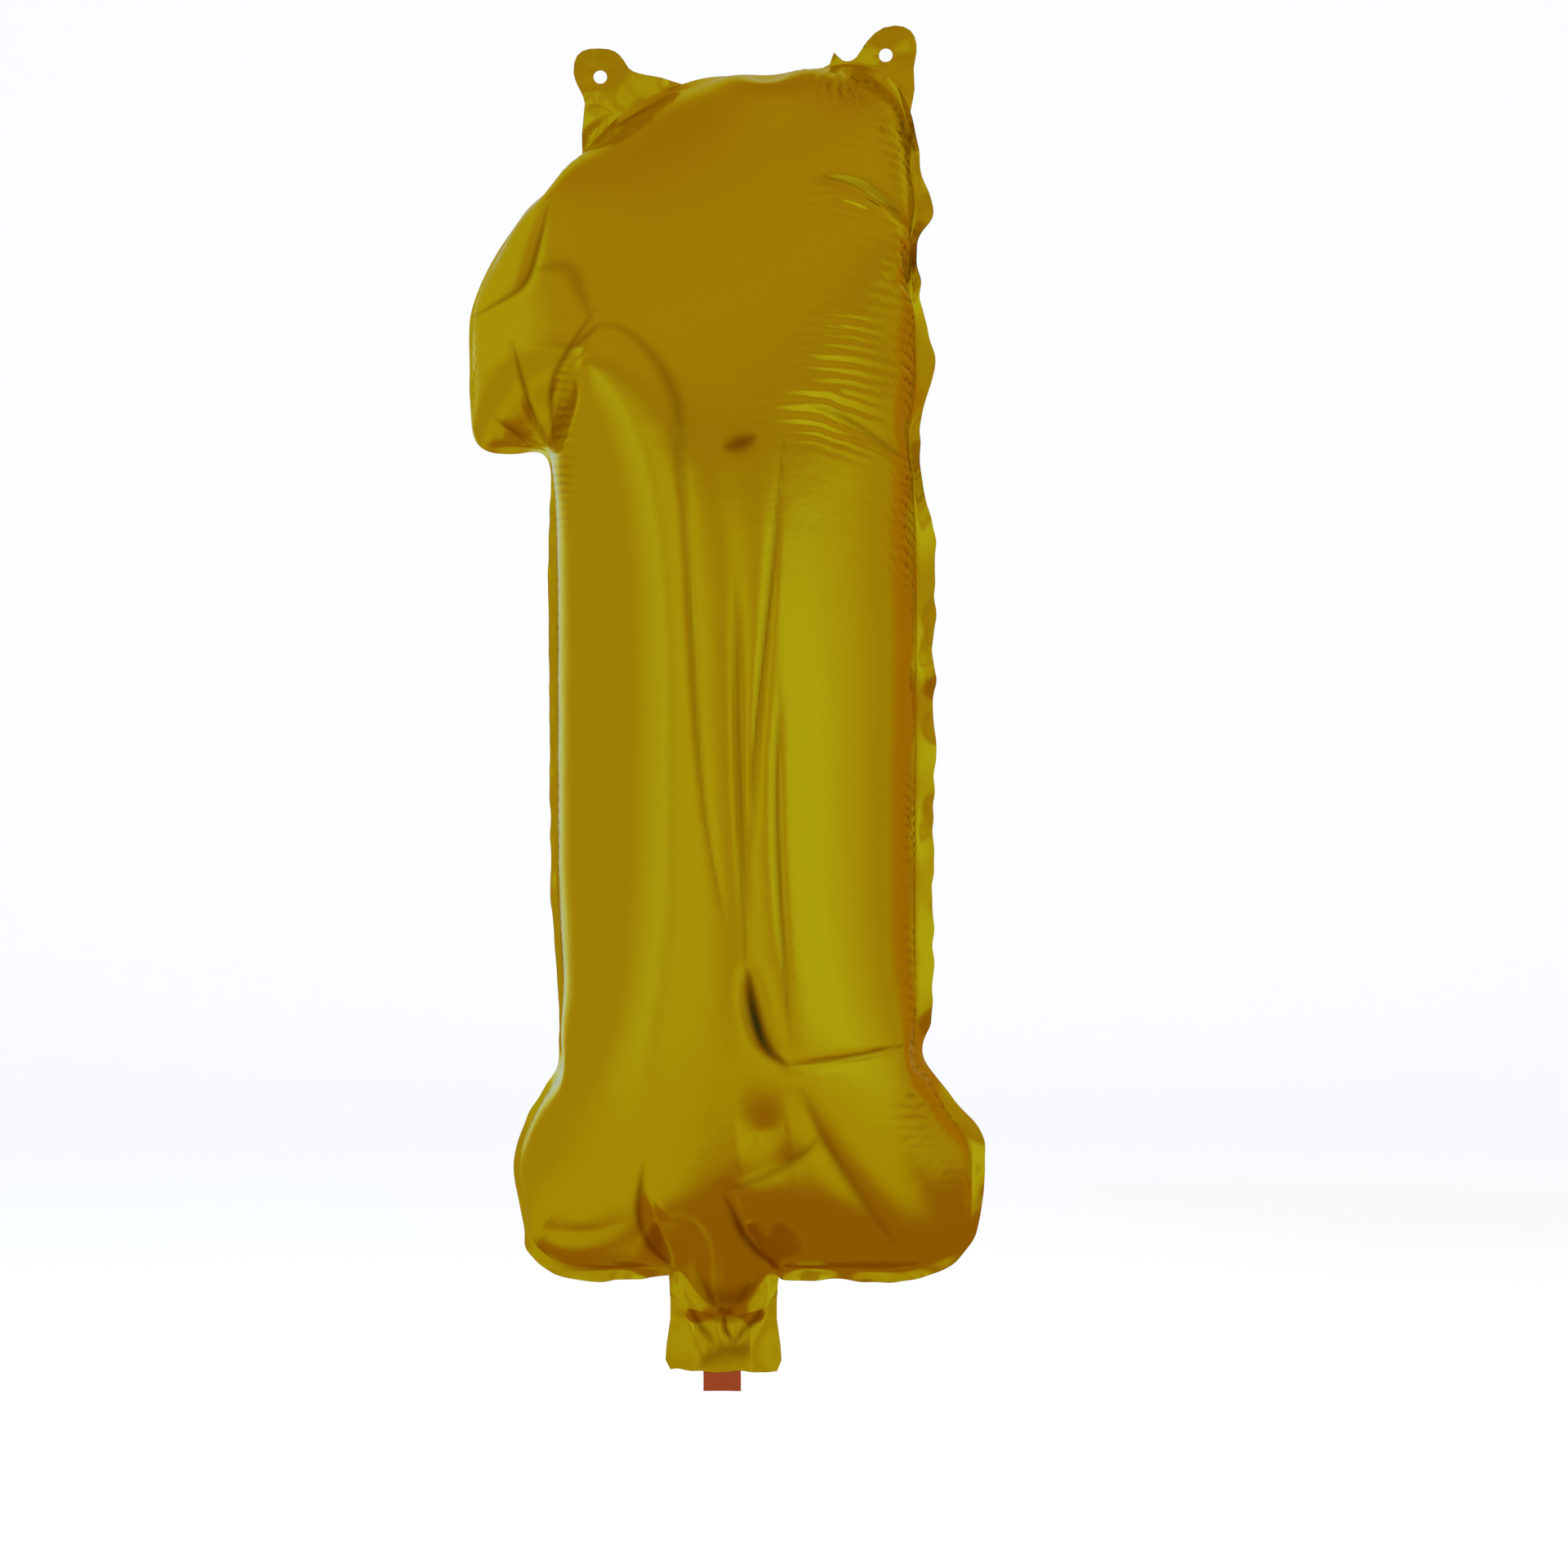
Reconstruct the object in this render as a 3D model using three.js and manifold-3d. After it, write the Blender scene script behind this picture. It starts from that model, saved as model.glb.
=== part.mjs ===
// A foil number balloon in the shape of the digit 1, about 40 cm over its tabs, inflated and hung up.
//
// Two sheets of metallised film are heat-sealed to each other along a flat margin, and the gas between them
// rounds both sheets out into half tubes. The same two sheets run on past the seal as two flat hanging tabs
// and as a filling neck. A flat valve of two thin films lies in the neck, with its mouth sticking out below
// and its inner end loose in the gas. The tabs, the neck and the two lips of the mouth bend where they leave
// the sealed film, so each is a piece of its own with a narrow gap along its fold line.
//
// Millimetres. +X is to the right as the digit is read, +Z is up and the digit is read from -Y. The origin is
// halfway between the centres of the two hanging holes, in the plane of the seal.
import * as THREE from "three";
import { mergeVertices } from "three/addons/utils/BufferGeometryUtils.js";
import Module from "manifold-3d";

const wasm = await Module();
wasm.setup();

// Film. The sheets are drawn thicker than real film, so that each one is a solid.
const FOIL = 0.5;
const VALVE_FILM = 0.3;
const GAP = 0.3; // clearance between neighbouring sheets
const SEAL = 4; // width of the flat sealed margin outside the gas
const ROUNDNESS = 0.96; // depth of the inflated stem over its width

// The digit, as the line where the seal meets the gas.
const FLAG_LEFT = -76.5;
const FLAG_BOTTOM = -111;
const STEM_LEFT = -52.5;
const STEM_RIGHT = 50.5;
const STEM_FOOT = -286;
const FOOT_LEFT = -63.5;
const FOOT_RIGHT = 66;
const FOOT_BOTTOM = -350.5;
const TOP = -3.4;

// Hanging tabs: a round ear with a punched hole, on a web that runs out of the sealed margin.
const HOLE_HALF_SPACING = 41.8;
const HOLE_RISE = 3.2; // the right hole is this far above the origin, and the left one as far below it
const HOLE_RADIUS = 2;
const HOLE_SIDES = 20;
const EAR_RADIUS = 8;
const TAB_FOLD_CLEARANCE = 0.75; // from a fold line to the film on either side of it

// Filling neck, valve and mouth.
const NECK_X = -5.4;
const NECK_WIDTH = 33;
const NECK_FOLD_Z = -364;
const NECK_FOLD_CLEARANCE = 1.35;
const NECK_BOTTOM = -382.4;
const THROAT_RISE = 0.8; // how far each sheet stands off at the neck's fold, for the valve to pass
const VALVE_WIDTH = 16;
const VALVE_TOP = -296;
const MOUTH_X = -6.1;
const MOUTH_WIDTH = 11;
const LIP_FOLD_Z = -383.4;
const LIP_FOLD_CLEARANCE = 0.5;
const LIP_BOTTOM = -388;

const gold = new THREE.MeshStandardMaterial({ color: 0xb8900c, roughness: 0.22, metalness: 1 });
const valveOrange = new THREE.MeshStandardMaterial({ color: 0xb04a1e, roughness: 0.4, metalness: 0 });

// Where the film lies in depth, as the near and far face of one ply in front of the seal's plane.
const FOIL_PLY = { near: GAP / 2 + FOIL, far: GAP / 2 };
const VALVE_PLY = { near: GAP / 2 + VALVE_FILM, far: GAP / 2 };
const NECK_PLY = { near: VALVE_PLY.near + GAP + FOIL, far: VALVE_PLY.near + GAP };

// ---- The inflated panel -------------------------------------------------------------------------------

// Where the grid's lines meet the edges, as shares of an edge's length: close together at the seal, where
// the film turns most, and at the corners of the neck.
const COLUMNS = [0, 0.01, 0.04, 0.09, 0.15, 0.21, 0.268, 0.31, 0.356, 0.42, 0.49, 0.56, 0.604, 0.648, 0.71,
  0.78, 0.85, 0.91, 0.96, 0.99, 1];
const ROWS = [0, 0.006, 0.022, 0.048, 0.08, 0.115, 0.152, 0.188, 0.225, 0.265, 0.305, 0.345, 0.385, 0.425,
  0.465, 0.505, 0.545, 0.585, 0.625, 0.665, 0.7, 0.735, 0.768, 0.8, 0.83, 0.86, 0.89, 0.918, 0.944, 0.965,
  0.982, 0.994, 1];

// The four edges of the gas chamber, each running left to right or downwards.
function chamberEdges() {
  const neckLeft = NECK_X - NECK_WIDTH / 2 + SEAL;
  const neckRight = NECK_X + NECK_WIDTH / 2 - SEAL;
  const neckEnd = NECK_FOLD_Z + 2 * NECK_FOLD_CLEARANCE;
  const flagTop = -74;
  const rightTop = -24;
  const footRise = 12; // height of the foot's bottom corners above its bottom edge
  const topLeft = new THREE.Vector2(FLAG_LEFT, flagTop);
  const topRight = new THREE.Vector2(STEM_RIGHT - 1, rightTop);
  const bottomLeft = new THREE.Vector2(FOOT_LEFT + 3, FOOT_BOTTOM + footRise);
  const bottomRight = new THREE.Vector2(FOOT_RIGHT - 3, FOOT_BOTTOM + footRise);

  const top = new THREE.Path();
  top.moveTo(topLeft.x, topLeft.y);
  top.quadraticCurveTo(-72, -60, -60, -47);
  top.bezierCurveTo(-42, -23, -24, -5, 2, TOP - 0.8);
  top.lineTo(26, TOP);
  top.bezierCurveTo(40, TOP - 0.4, 48.5, TOP - 7, topRight.x, topRight.y);

  const left = new THREE.Path();
  left.moveTo(topLeft.x, topLeft.y);
  left.lineTo(FLAG_LEFT, FLAG_BOTTOM + 7);
  left.quadraticCurveTo(FLAG_LEFT, FLAG_BOTTOM, FLAG_LEFT + 7, FLAG_BOTTOM);
  left.lineTo(STEM_LEFT - 7, FLAG_BOTTOM);
  left.quadraticCurveTo(STEM_LEFT, FLAG_BOTTOM, STEM_LEFT, FLAG_BOTTOM - 9);
  left.lineTo(STEM_LEFT + 2.5, STEM_FOOT + 6);
  left.quadraticCurveTo(STEM_LEFT + 2.5, STEM_FOOT - 4, STEM_LEFT - 4, STEM_FOOT - 16);
  left.quadraticCurveTo(FOOT_LEFT, STEM_FOOT - 27, FOOT_LEFT, STEM_FOOT - 34);
  left.lineTo(bottomLeft.x, bottomLeft.y);

  const right = new THREE.Path();
  right.moveTo(topRight.x, topRight.y);
  right.quadraticCurveTo(STEM_RIGHT, rightTop - 6, STEM_RIGHT, rightTop - 16);
  right.lineTo(STEM_RIGHT, STEM_FOOT + 4);
  right.quadraticCurveTo(STEM_RIGHT + 1, STEM_FOOT - 10, STEM_RIGHT + 9, STEM_FOOT - 22);
  right.quadraticCurveTo(FOOT_RIGHT, STEM_FOOT - 30, FOOT_RIGHT, STEM_FOOT - 37);
  right.lineTo(bottomRight.x, bottomRight.y);

  const bottom = new THREE.Path();
  bottom.moveTo(bottomLeft.x, bottomLeft.y);
  bottom.quadraticCurveTo(bottomLeft.x + 2, FOOT_BOTTOM, bottomLeft.x + 16, FOOT_BOTTOM);
  bottom.lineTo(neckLeft - 2, FOOT_BOTTOM);
  bottom.quadraticCurveTo(neckLeft, FOOT_BOTTOM, neckLeft, FOOT_BOTTOM - 2);
  bottom.lineTo(neckLeft + 1, neckEnd);
  bottom.lineTo(neckRight - 1, neckEnd);
  bottom.lineTo(neckRight, FOOT_BOTTOM - 2);
  bottom.quadraticCurveTo(neckRight, FOOT_BOTTOM, neckRight + 2, FOOT_BOTTOM);
  bottom.lineTo(bottomRight.x - 16, FOOT_BOTTOM);
  bottom.quadraticCurveTo(bottomRight.x - 2, FOOT_BOTTOM, bottomRight.x, bottomRight.y);
  return { top, left, right, bottom };
}

// The chamber's area as a grid of points, blended from its four edges (a Coons patch).
function chamberGrid() {
  const { top, left, right, bottom } = chamberEdges();
  const corners = [top.getPointAt(0), top.getPointAt(1), bottom.getPointAt(0), bottom.getPointAt(1)];
  return ROWS.map((v) =>
    COLUMNS.map((u) => {
      const point = new THREE.Vector2();
      point.addScaledVector(top.getPointAt(u), 1 - v).addScaledVector(bottom.getPointAt(u), v);
      point.addScaledVector(left.getPointAt(v), 1 - u).addScaledVector(right.getPointAt(v), u);
      const weights = [(1 - u) * (1 - v), u * (1 - v), (1 - u) * v, u * v];
      corners.forEach((corner, k) => point.addScaledVector(corner, -weights[k]));
      return point;
    }),
  );
}

const columnCount = COLUMNS.length;
const rowCount = ROWS.length;
const at = (row, column) => row * columnCount + column;

// Two triangles for each cell of the grid, turned clockwise as seen from -Y.
function gridTriangles() {
  const triangles = [];
  for (let row = 0; row < rowCount - 1; row++)
    for (let column = 0; column < columnCount - 1; column++) {
      const [a, b] = [at(row, column), at(row, column + 1)];
      const [c, d] = [at(row + 1, column), at(row + 1, column + 1)];
      triangles.push([a, c, b], [b, c, d]);
    }
  return triangles;
}

// The grid's outermost points in order, once round.
function rimOrder() {
  const rim = [];
  for (let column = 0; column < columnCount - 1; column++) rim.push(at(0, column));
  for (let row = 0; row < rowCount - 1; row++) rim.push(at(row, columnCount - 1));
  for (let column = columnCount - 1; column > 0; column--) rim.push(at(rowCount - 1, column));
  for (let row = rowCount - 1; row > 0; row--) rim.push(at(row, 0));
  return rim;
}

// How far the film stands out at each point. A film under pressure between fixed edges has the height whose
// square follows Poisson's equation, which makes a long strip a half circle.
function inflate(points, triangles, rim, isThroat) {
  const sweeps = 900;
  const overRelaxation = 1.7;
  const neighbours = points.map(() => new Map());
  const area = points.map(() => 0);
  for (const triangle of triangles)
    for (let k = 0; k < 3; k++) {
      const [i, j, apex] = [triangle[k], triangle[(k + 1) % 3], triangle[(k + 2) % 3]];
      const toI = points[i].clone().sub(points[apex]);
      const toJ = points[j].clone().sub(points[apex]);
      const twiceArea = Math.abs(toI.cross(toJ));
      const weight = Math.max(toI.dot(toJ) / twiceArea / 2, 1e-3);
      neighbours[i].set(j, (neighbours[i].get(j) ?? 0) + weight);
      neighbours[j].set(i, (neighbours[j].get(i) ?? 0) + weight);
      area[i] += twiceArea / 6;
    }
  const square = points.map(() => 0);
  const fixed = new Set(rim);
  for (const i of rim) if (isThroat(points[i])) square[i] = (THROAT_RISE / ROUNDNESS) ** 2 / 2;
  for (let sweep = 0; sweep < sweeps; sweep++)
    points.forEach((point, i) => {
      if (fixed.has(i)) return;
      let [sum, total] = [area[i], 0];
      for (const [j, weight] of neighbours[i]) {
        sum += weight * square[j];
        total += weight;
      }
      square[i] += overRelaxation * (sum / total - square[i]);
    });
  return square.map((value) => ROUNDNESS * Math.sqrt(2 * Math.max(value, 0)));
}

// The sealed margin's outer edge: each rim point moved out of the chamber, cut off straight at the neck.
function marginEdge(points, rim) {
  return rim.map((index, k) => {
    const before = points[rim.at(k - 1)];
    const after = points[rim[(k + 1) % rim.length]];
    const outward = new THREE.Vector2(before.y - after.y, after.x - before.x).normalize();
    const edge = points[index].clone().addScaledVector(outward, SEAL);
    edge.y = Math.max(edge.y, NECK_FOLD_Z + NECK_FOLD_CLEARANCE);
    return edge;
  });
}

// One inflated sheet with its sealed margin, as a closed shell on the -Y side of the seal.
function panelGeometry() {
  const points = chamberGrid().flat();
  const triangles = gridTriangles();
  const rim = rimOrder();
  const isThroat = (p) => p.y < FOOT_BOTTOM - 8 && Math.abs(p.x - NECK_X) < VALVE_WIDTH / 2 + 1.5;
  const heights = inflate(points, triangles, rim, isThroat);
  const edge = marginEdge(points, rim);
  const first = points.length;
  rim.forEach((index, k) => {
    const next = (k + 1) % rim.length;
    triangles.push([index, rim[next], first + k], [rim[next], first + next, first + k]);
    heights.push(isThroat(points[index]) ? THROAT_RISE : 0);
  });
  const outer = [...points, ...edge].map(
    (p, i) => new THREE.Vector3(p.x, -FOIL_PLY.near - heights[i], p.y),
  );
  const inner = offsetInwards(outer, triangles, first);
  const count = outer.length;
  const index = triangles.flatMap(([a, b, c]) => [a, b, c, count + a, count + c, count + b]);
  rim.forEach((_, k) => {
    const [a, b] = [first + k, first + ((k + 1) % rim.length)];
    index.push(a, b, count + a, b, count + b, count + a);
  });
  const geometry = new THREE.BufferGeometry();
  geometry.setFromPoints([...outer, ...inner]);
  geometry.setIndex(index);
  return geometry;
}

// The sheet's inner face: every point moved by the film's thickness against the surface's normal, and the
// sealed margin straight back, so that it stays flat.
function offsetInwards(outer, triangles, firstMarginPoint) {
  const surface = new THREE.BufferGeometry().setFromPoints(outer);
  surface.setIndex(triangles.flat());
  surface.computeVertexNormals();
  const normals = surface.getAttribute("normal");
  return outer.map((point, i) => {
    const normal = new THREE.Vector3().fromBufferAttribute(normals, i);
    if (i >= firstMarginPoint) normal.set(0, -1, 0);
    return point.clone().addScaledVector(normal, -FOIL);
  });
}

// ---- Flat pieces --------------------------------------------------------------------------------------

// A flat ply of film cut to a shape drawn in X and Z, on the -Y side of the seal.
function plyGeometry(shape, ply) {
  const geometry = new THREE.ExtrudeGeometry(shape, {
    depth: ply.near - ply.far,
    bevelEnabled: false,
    curveSegments: 10,
  });
  geometry.rotateX(Math.PI / 2); // the drawing's Y becomes Z, and its depth runs towards -Y
  geometry.translate(0, -ply.far, 0);
  return geometry;
}

function polygon(points) {
  return new THREE.Shape(points.map(([x, z]) => new THREE.Vector2(x, z)));
}

// The two tabs. Each fold line runs left to right, and the web's corners are on it or above it.
const tabs = {
  left: {
    hole: new THREE.Vector2(-HOLE_HALF_SPACING, -HOLE_RISE),
    fold: [new THREE.Vector2(-47.7, -18.6), new THREE.Vector2(-26.4, -2.9)],
    stub: [[-19, -4.4], [-20.5, -7.4], [-34.6, -13.2], [-45.6, -25.4], [-48.2, -25]],
    earFrom: 200, // the ear's round runs from this angle clockwise to the next one, in degrees
    earTo: 28,
  },
  right: {
    hole: new THREE.Vector2(HOLE_HALF_SPACING, HOLE_RISE),
    fold: [new THREE.Vector2(30.4, -0.6), new THREE.Vector2(50.2, -2.6)],
    stub: [[50.2, -19], [46.6, -13.5], [41, -7.6], [29, -2.6]],
    earFrom: 175,
    earTo: -4,
  },
};

// Moves a fold line to its upper (+1) or lower (-1) side by the fold's clearance.
function foldEdge([start, end], side) {
  const along = end.clone().sub(start).normalize();
  const shift = new THREE.Vector2(-along.y, along.x).multiplyScalar(side * TAB_FOLD_CLEARANCE);
  return [start.clone().add(shift), end.clone().add(shift)];
}

// The part of a tab above its fold line: a straight root and a round ear with the hanging hole.
function tabShape({ hole, fold, earFrom, earTo }) {
  const [start, end] = foldEdge(fold, 1);
  const shape = new THREE.Shape();
  shape.moveTo(end.x, end.y);
  shape.lineTo(start.x, start.y);
  const radians = THREE.MathUtils.degToRad;
  shape.absarc(hole.x, hole.y, EAR_RADIUS, radians(earFrom), radians(earTo), true);
  const circle = new THREE.EllipseCurve(hole.x, hole.y, HOLE_RADIUS, HOLE_RADIUS);
  shape.holes.push(new THREE.Path(circle.getPoints(HOLE_SIDES).slice(1)));
  return shape;
}

// The flat film between the sealed margin and a tab's fold line, which is part of the panel.
function stubShape({ fold, stub }) {
  const [start, end] = foldEdge(fold, -1);
  return polygon([[start.x, start.y], [end.x, end.y], ...stub]);
}

function neckShape() {
  const top = NECK_FOLD_Z - NECK_FOLD_CLEARANCE;
  const half = NECK_WIDTH / 2;
  const [left, right] = [NECK_X - half, NECK_X + half];
  const flare = 1.6; // how far the neck's lower corners stand out past its root
  const shape = new THREE.Shape();
  shape.moveTo(right, top);
  shape.lineTo(left, top);
  shape.quadraticCurveTo(left, top - 4, left - flare, top - 9);
  shape.quadraticCurveTo(left - flare, NECK_BOTTOM + 1, left + 2, NECK_BOTTOM);
  shape.lineTo(MOUTH_X - MOUTH_WIDTH / 2, NECK_BOTTOM);
  shape.lineTo(MOUTH_X + MOUTH_WIDTH / 2, NECK_BOTTOM);
  shape.lineTo(right - 1, NECK_BOTTOM + 1.6);
  shape.quadraticCurveTo(right + flare, NECK_BOTTOM + 6, right + flare, NECK_BOTTOM + 8);
  shape.quadraticCurveTo(right, top - 4, right, top);
  return shape;
}

function strip(centre, width, top, bottom) {
  const [left, right] = [centre - width / 2, centre + width / 2];
  return polygon([[left, top], [left, bottom], [right, bottom], [right, top]]);
}

// The valve's films above the neck's fold, with a rounded free end in the gas.
function innerValveShape() {
  const bottom = NECK_FOLD_Z + NECK_FOLD_CLEARANCE;
  const half = VALVE_WIDTH / 2;
  const corner = 5;
  const shape = new THREE.Shape();
  shape.moveTo(NECK_X - half, bottom);
  shape.lineTo(NECK_X + half, bottom);
  shape.lineTo(NECK_X + half, VALVE_TOP - corner);
  shape.quadraticCurveTo(NECK_X + half, VALVE_TOP, NECK_X + half - corner, VALVE_TOP);
  shape.lineTo(NECK_X - half + corner, VALVE_TOP);
  shape.quadraticCurveTo(NECK_X - half, VALVE_TOP, NECK_X - half, VALVE_TOP - corner);
  return shape;
}

// ---- Joining and assembly -----------------------------------------------------------------------------

function solidOf(geometry) {
  const bare = geometry.clone();
  bare.deleteAttribute("normal");
  bare.deleteAttribute("uv");
  const merged = mergeVertices(bare, 1e-4);
  const vertProperties = merged.getAttribute("position").array;
  const triVerts = new Uint32Array(merged.index.array);
  return new wasm.Manifold(new wasm.Mesh({ numProp: 3, vertProperties, triVerts }));
}

function geometryOf(solid) {
  const { vertProperties, triVerts } = solid.getMesh();
  const geometry = new THREE.BufferGeometry();
  geometry.setAttribute("position", new THREE.BufferAttribute(vertProperties, 3));
  geometry.setIndex(new THREE.BufferAttribute(triVerts, 1));
  geometry.computeVertexNormals();
  return geometry;
}

const balloon = new THREE.Group();

// Adds a piece of the front sheet and its mirror image in the back sheet.
function addPair(frontName, backName, geometry, material) {
  const front = new THREE.Mesh(geometry, material.clone());
  front.name = frontName;
  const back = new THREE.Mesh(geometry, material.clone());
  back.name = backName;
  back.scale.y = -1;
  balloon.add(front, back);
}

const panel = Object.values(tabs).reduce(
  (solid, tab) => solid.add(solidOf(plyGeometry(stubShape(tab), FOIL_PLY))),
  solidOf(panelGeometry()),
);
addPair("front_panel", "back_panel", geometryOf(panel), gold);

for (const [side, tab] of Object.entries(tabs)) {
  const geometry = plyGeometry(tabShape(tab), FOIL_PLY);
  addPair(`${side}_tab_front_ply`, `${side}_tab_back_ply`, geometry, gold);
}

addPair("neck_front_ply", "neck_back_ply", plyGeometry(neckShape(), NECK_PLY), gold);

const innerValve = plyGeometry(innerValveShape(), VALVE_PLY);
addPair("valve_front_film", "valve_back_film", innerValve, valveOrange);

const channelTop = NECK_FOLD_Z - NECK_FOLD_CLEARANCE;
const channel = strip(MOUTH_X, MOUTH_WIDTH, channelTop, LIP_FOLD_Z + LIP_FOLD_CLEARANCE);
addPair("neck_valve_front_film", "neck_valve_back_film", plyGeometry(channel, VALVE_PLY), valveOrange);

const lip = strip(MOUTH_X, MOUTH_WIDTH, LIP_FOLD_Z - LIP_FOLD_CLEARANCE, LIP_BOTTOM);
addPair("mouth_front_lip", "mouth_back_lip", plyGeometry(lip, VALVE_PLY), valveOrange);

export default balloon;
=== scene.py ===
"""A gold foil number balloon, digit 1, inflated from its flat cut and hung up.

The two films are cut flat, wider and a little longer than the finished digit, and sealed along a flat
margin. A relaxation with stiff film, free folding and gas pressure rounds them out. The shape is then
shifted by a few millimetres, so that its seam follows the finished outline, and creases and fine gathers
are pressed in. The tabs, the neck and the valve are cut and bent. Work on the film is in
millimetres. Everything handed to Blender is in metres, in the CAD frame. Angles are in degrees.
"""
import math

import bpy
import numpy as np
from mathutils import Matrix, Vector, geometry, noise


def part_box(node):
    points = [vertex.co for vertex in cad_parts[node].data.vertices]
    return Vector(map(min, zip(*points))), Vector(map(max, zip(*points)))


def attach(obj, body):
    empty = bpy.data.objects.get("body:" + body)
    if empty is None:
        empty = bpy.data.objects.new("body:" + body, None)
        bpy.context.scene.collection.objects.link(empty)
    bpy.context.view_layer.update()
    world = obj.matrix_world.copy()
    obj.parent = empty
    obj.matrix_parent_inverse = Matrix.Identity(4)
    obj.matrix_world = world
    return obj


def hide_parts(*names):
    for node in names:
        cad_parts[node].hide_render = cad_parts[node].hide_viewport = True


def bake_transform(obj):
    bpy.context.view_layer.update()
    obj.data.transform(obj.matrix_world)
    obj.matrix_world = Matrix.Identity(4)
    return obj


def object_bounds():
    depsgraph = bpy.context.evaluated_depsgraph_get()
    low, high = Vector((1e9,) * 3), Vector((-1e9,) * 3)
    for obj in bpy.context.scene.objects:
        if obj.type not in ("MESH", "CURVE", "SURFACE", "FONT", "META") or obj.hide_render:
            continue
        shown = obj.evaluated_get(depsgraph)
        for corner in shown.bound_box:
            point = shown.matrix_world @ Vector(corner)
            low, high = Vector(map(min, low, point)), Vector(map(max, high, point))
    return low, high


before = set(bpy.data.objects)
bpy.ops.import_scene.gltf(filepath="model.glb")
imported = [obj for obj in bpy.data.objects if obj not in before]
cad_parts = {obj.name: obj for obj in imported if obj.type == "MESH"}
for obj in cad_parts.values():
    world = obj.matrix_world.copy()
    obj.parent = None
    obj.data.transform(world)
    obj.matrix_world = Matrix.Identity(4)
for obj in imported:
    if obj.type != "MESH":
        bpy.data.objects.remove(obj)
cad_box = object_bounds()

MM = 0.001
SEED = 7

# Film
FILM = 0.12  # drawn thickness of one ply of foil
VALVE_FILM = 0.08  # drawn thickness of one film of the valve
VALVE_HALF_SPACING = 0.12  # from the valve's middle to each of its films
MARGIN = 4.4  # width of the sealed margin, outside the gas
MARGIN_RINGS = 3
NECK_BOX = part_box("neck_front_ply")
NECK_CENTRE = NECK_BOX[0].x / MM / 2 + NECK_BOX[1].x / MM / 2
NECK_INSIDE = 25.0  # width of the neck between its seals
FOOT_EDGE = -360.5  # the flat cut's bottom edge
NECK_STUB = 9.0  # flat length of the neck that belongs to the envelope
NECK_BOTTOM = NECK_BOX[0].z / MM
NECK_FOLD = -364.0
VALVE_HALF_GAP = 0.62  # each sheet stands off this far where the valve lies in the neck
NECK_CLOSING = 3.5  # the neck closes over this distance from its seals
VALVE_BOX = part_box("neck_valve_front_film")
VALVE_LEFT = VALVE_BOX[0].x / MM
VALVE_RIGHT = VALVE_BOX[1].x / MM
VALVE_CENTRE = (VALVE_LEFT + VALVE_RIGHT) / 2
MOUTH_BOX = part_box("mouth_front_lip")
MOUTH_LEFT = MOUTH_BOX[0].x / MM
MOUTH_RIGHT = MOUTH_BOX[1].x / MM
MOUTH_BOTTOM = MOUTH_BOX[0].z / MM
LIP_FOLD = -383.4
LIP_TOP = LIP_FOLD + 0.3  # where the lips take over from the valve in the neck


# ---- Camera, floor and light ----------------------------------------------------------------------------

VIEW_HEIGHT = 0.459  # height of the picture at the balloon, in metres
LENS = 85  # focal length and width of the sensor, in millimetres
SENSOR = 36
AIM = Vector((0.012, 0, -0.2102))
FLOOR = cad_box[0].z - 0.09
# The pale sweep, in metres
SWEEP_HALF_WIDTH = 14.0
SWEEP_HEIGHT = 12.0
SWEEP_BEND = 1.2
SWEEP_WALL = 3.0
SWEEP_STEPS = 12
# The room that the foil reflects, in metres
ROOM_RADIUS = 1.5
ROOM_ABOVE_FLOOR = 0.003

# Colours of the room
WHITE = (0.6, 0.62, 0.64)
WINDOW = (0.6, 0.78, 1.4)
BRIGHT = (0.53, 0.58, 0.5)
YELLOW = (0.50, 0.48, 0.3)
WARM = (0.435, 0.34, 0.2)
DARK = (0.40, 0.28, 0.12)
CEILING = (0.44, 0.33, 0.2)
HIGH_CEILING = (0.38, 0.23, 0.12)
LINTEL = (0.385, 0.265, 0.14)
ORANGE_CORNER = (0.42, 0.22, 0.02)
LOW_SIDE = (0.48, 0.42, 0.14)
LOW_BEHIND = (0.40, 0.28, 0.05)
FLOOR_SHADE = (0.33, 0.16, 0.06)
# The walls' colours by turn: 0 is in front of the balloon and 90 to its right
WALLS = (
    (-115, WARM),
    (-64, WARM),
    (-40, BRIGHT),
    (-37, DARK),
    (-34, YELLOW),
    (-17, YELLOW),
    (-8, WARM),
    (-3, DARK),
    (3, YELLOW),
    (10, YELLOW),
    (15, DARK),
    (19, WARM),
    (25, BRIGHT),
    (46, BRIGHT),
    (66, YELLOW),
    (98, WARM),
)
# Below which rise the floor's shade begins, by turn
DARK_FLOOR_TURNS = (-180, -150, -132, -90, -40, -26, -14, 10, 45, 90, 120, 180)
DARK_FLOOR_FROM = (-60, -60, -76, -70, -56, -48, -40, -40, -52, -56, -60, -60)


def make_camera():
    """A camera straight in front of the balloon, level with its middle."""
    data = bpy.data.cameras.new("camera")
    data.lens = LENS
    data.sensor_width = SENSOR
    camera = bpy.data.objects.new("camera", data)
    bpy.context.collection.objects.link(camera)
    distance = VIEW_HEIGHT * LENS / SENSOR
    camera.location = AIM + Vector((0, -distance, 0))
    camera.rotation_euler = (math.pi / 2, 0, 0)
    bpy.context.scene.camera = camera


def principled(name, color, roughness):
    """A plain material and its shader."""
    material = bpy.data.materials.new(name)
    material.use_nodes = True
    shader = material.node_tree.nodes["Principled BSDF"]
    shader.inputs["Base Color"].default_value = (*color, 1)
    shader.inputs["Roughness"].default_value = roughness
    return material, shader


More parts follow.
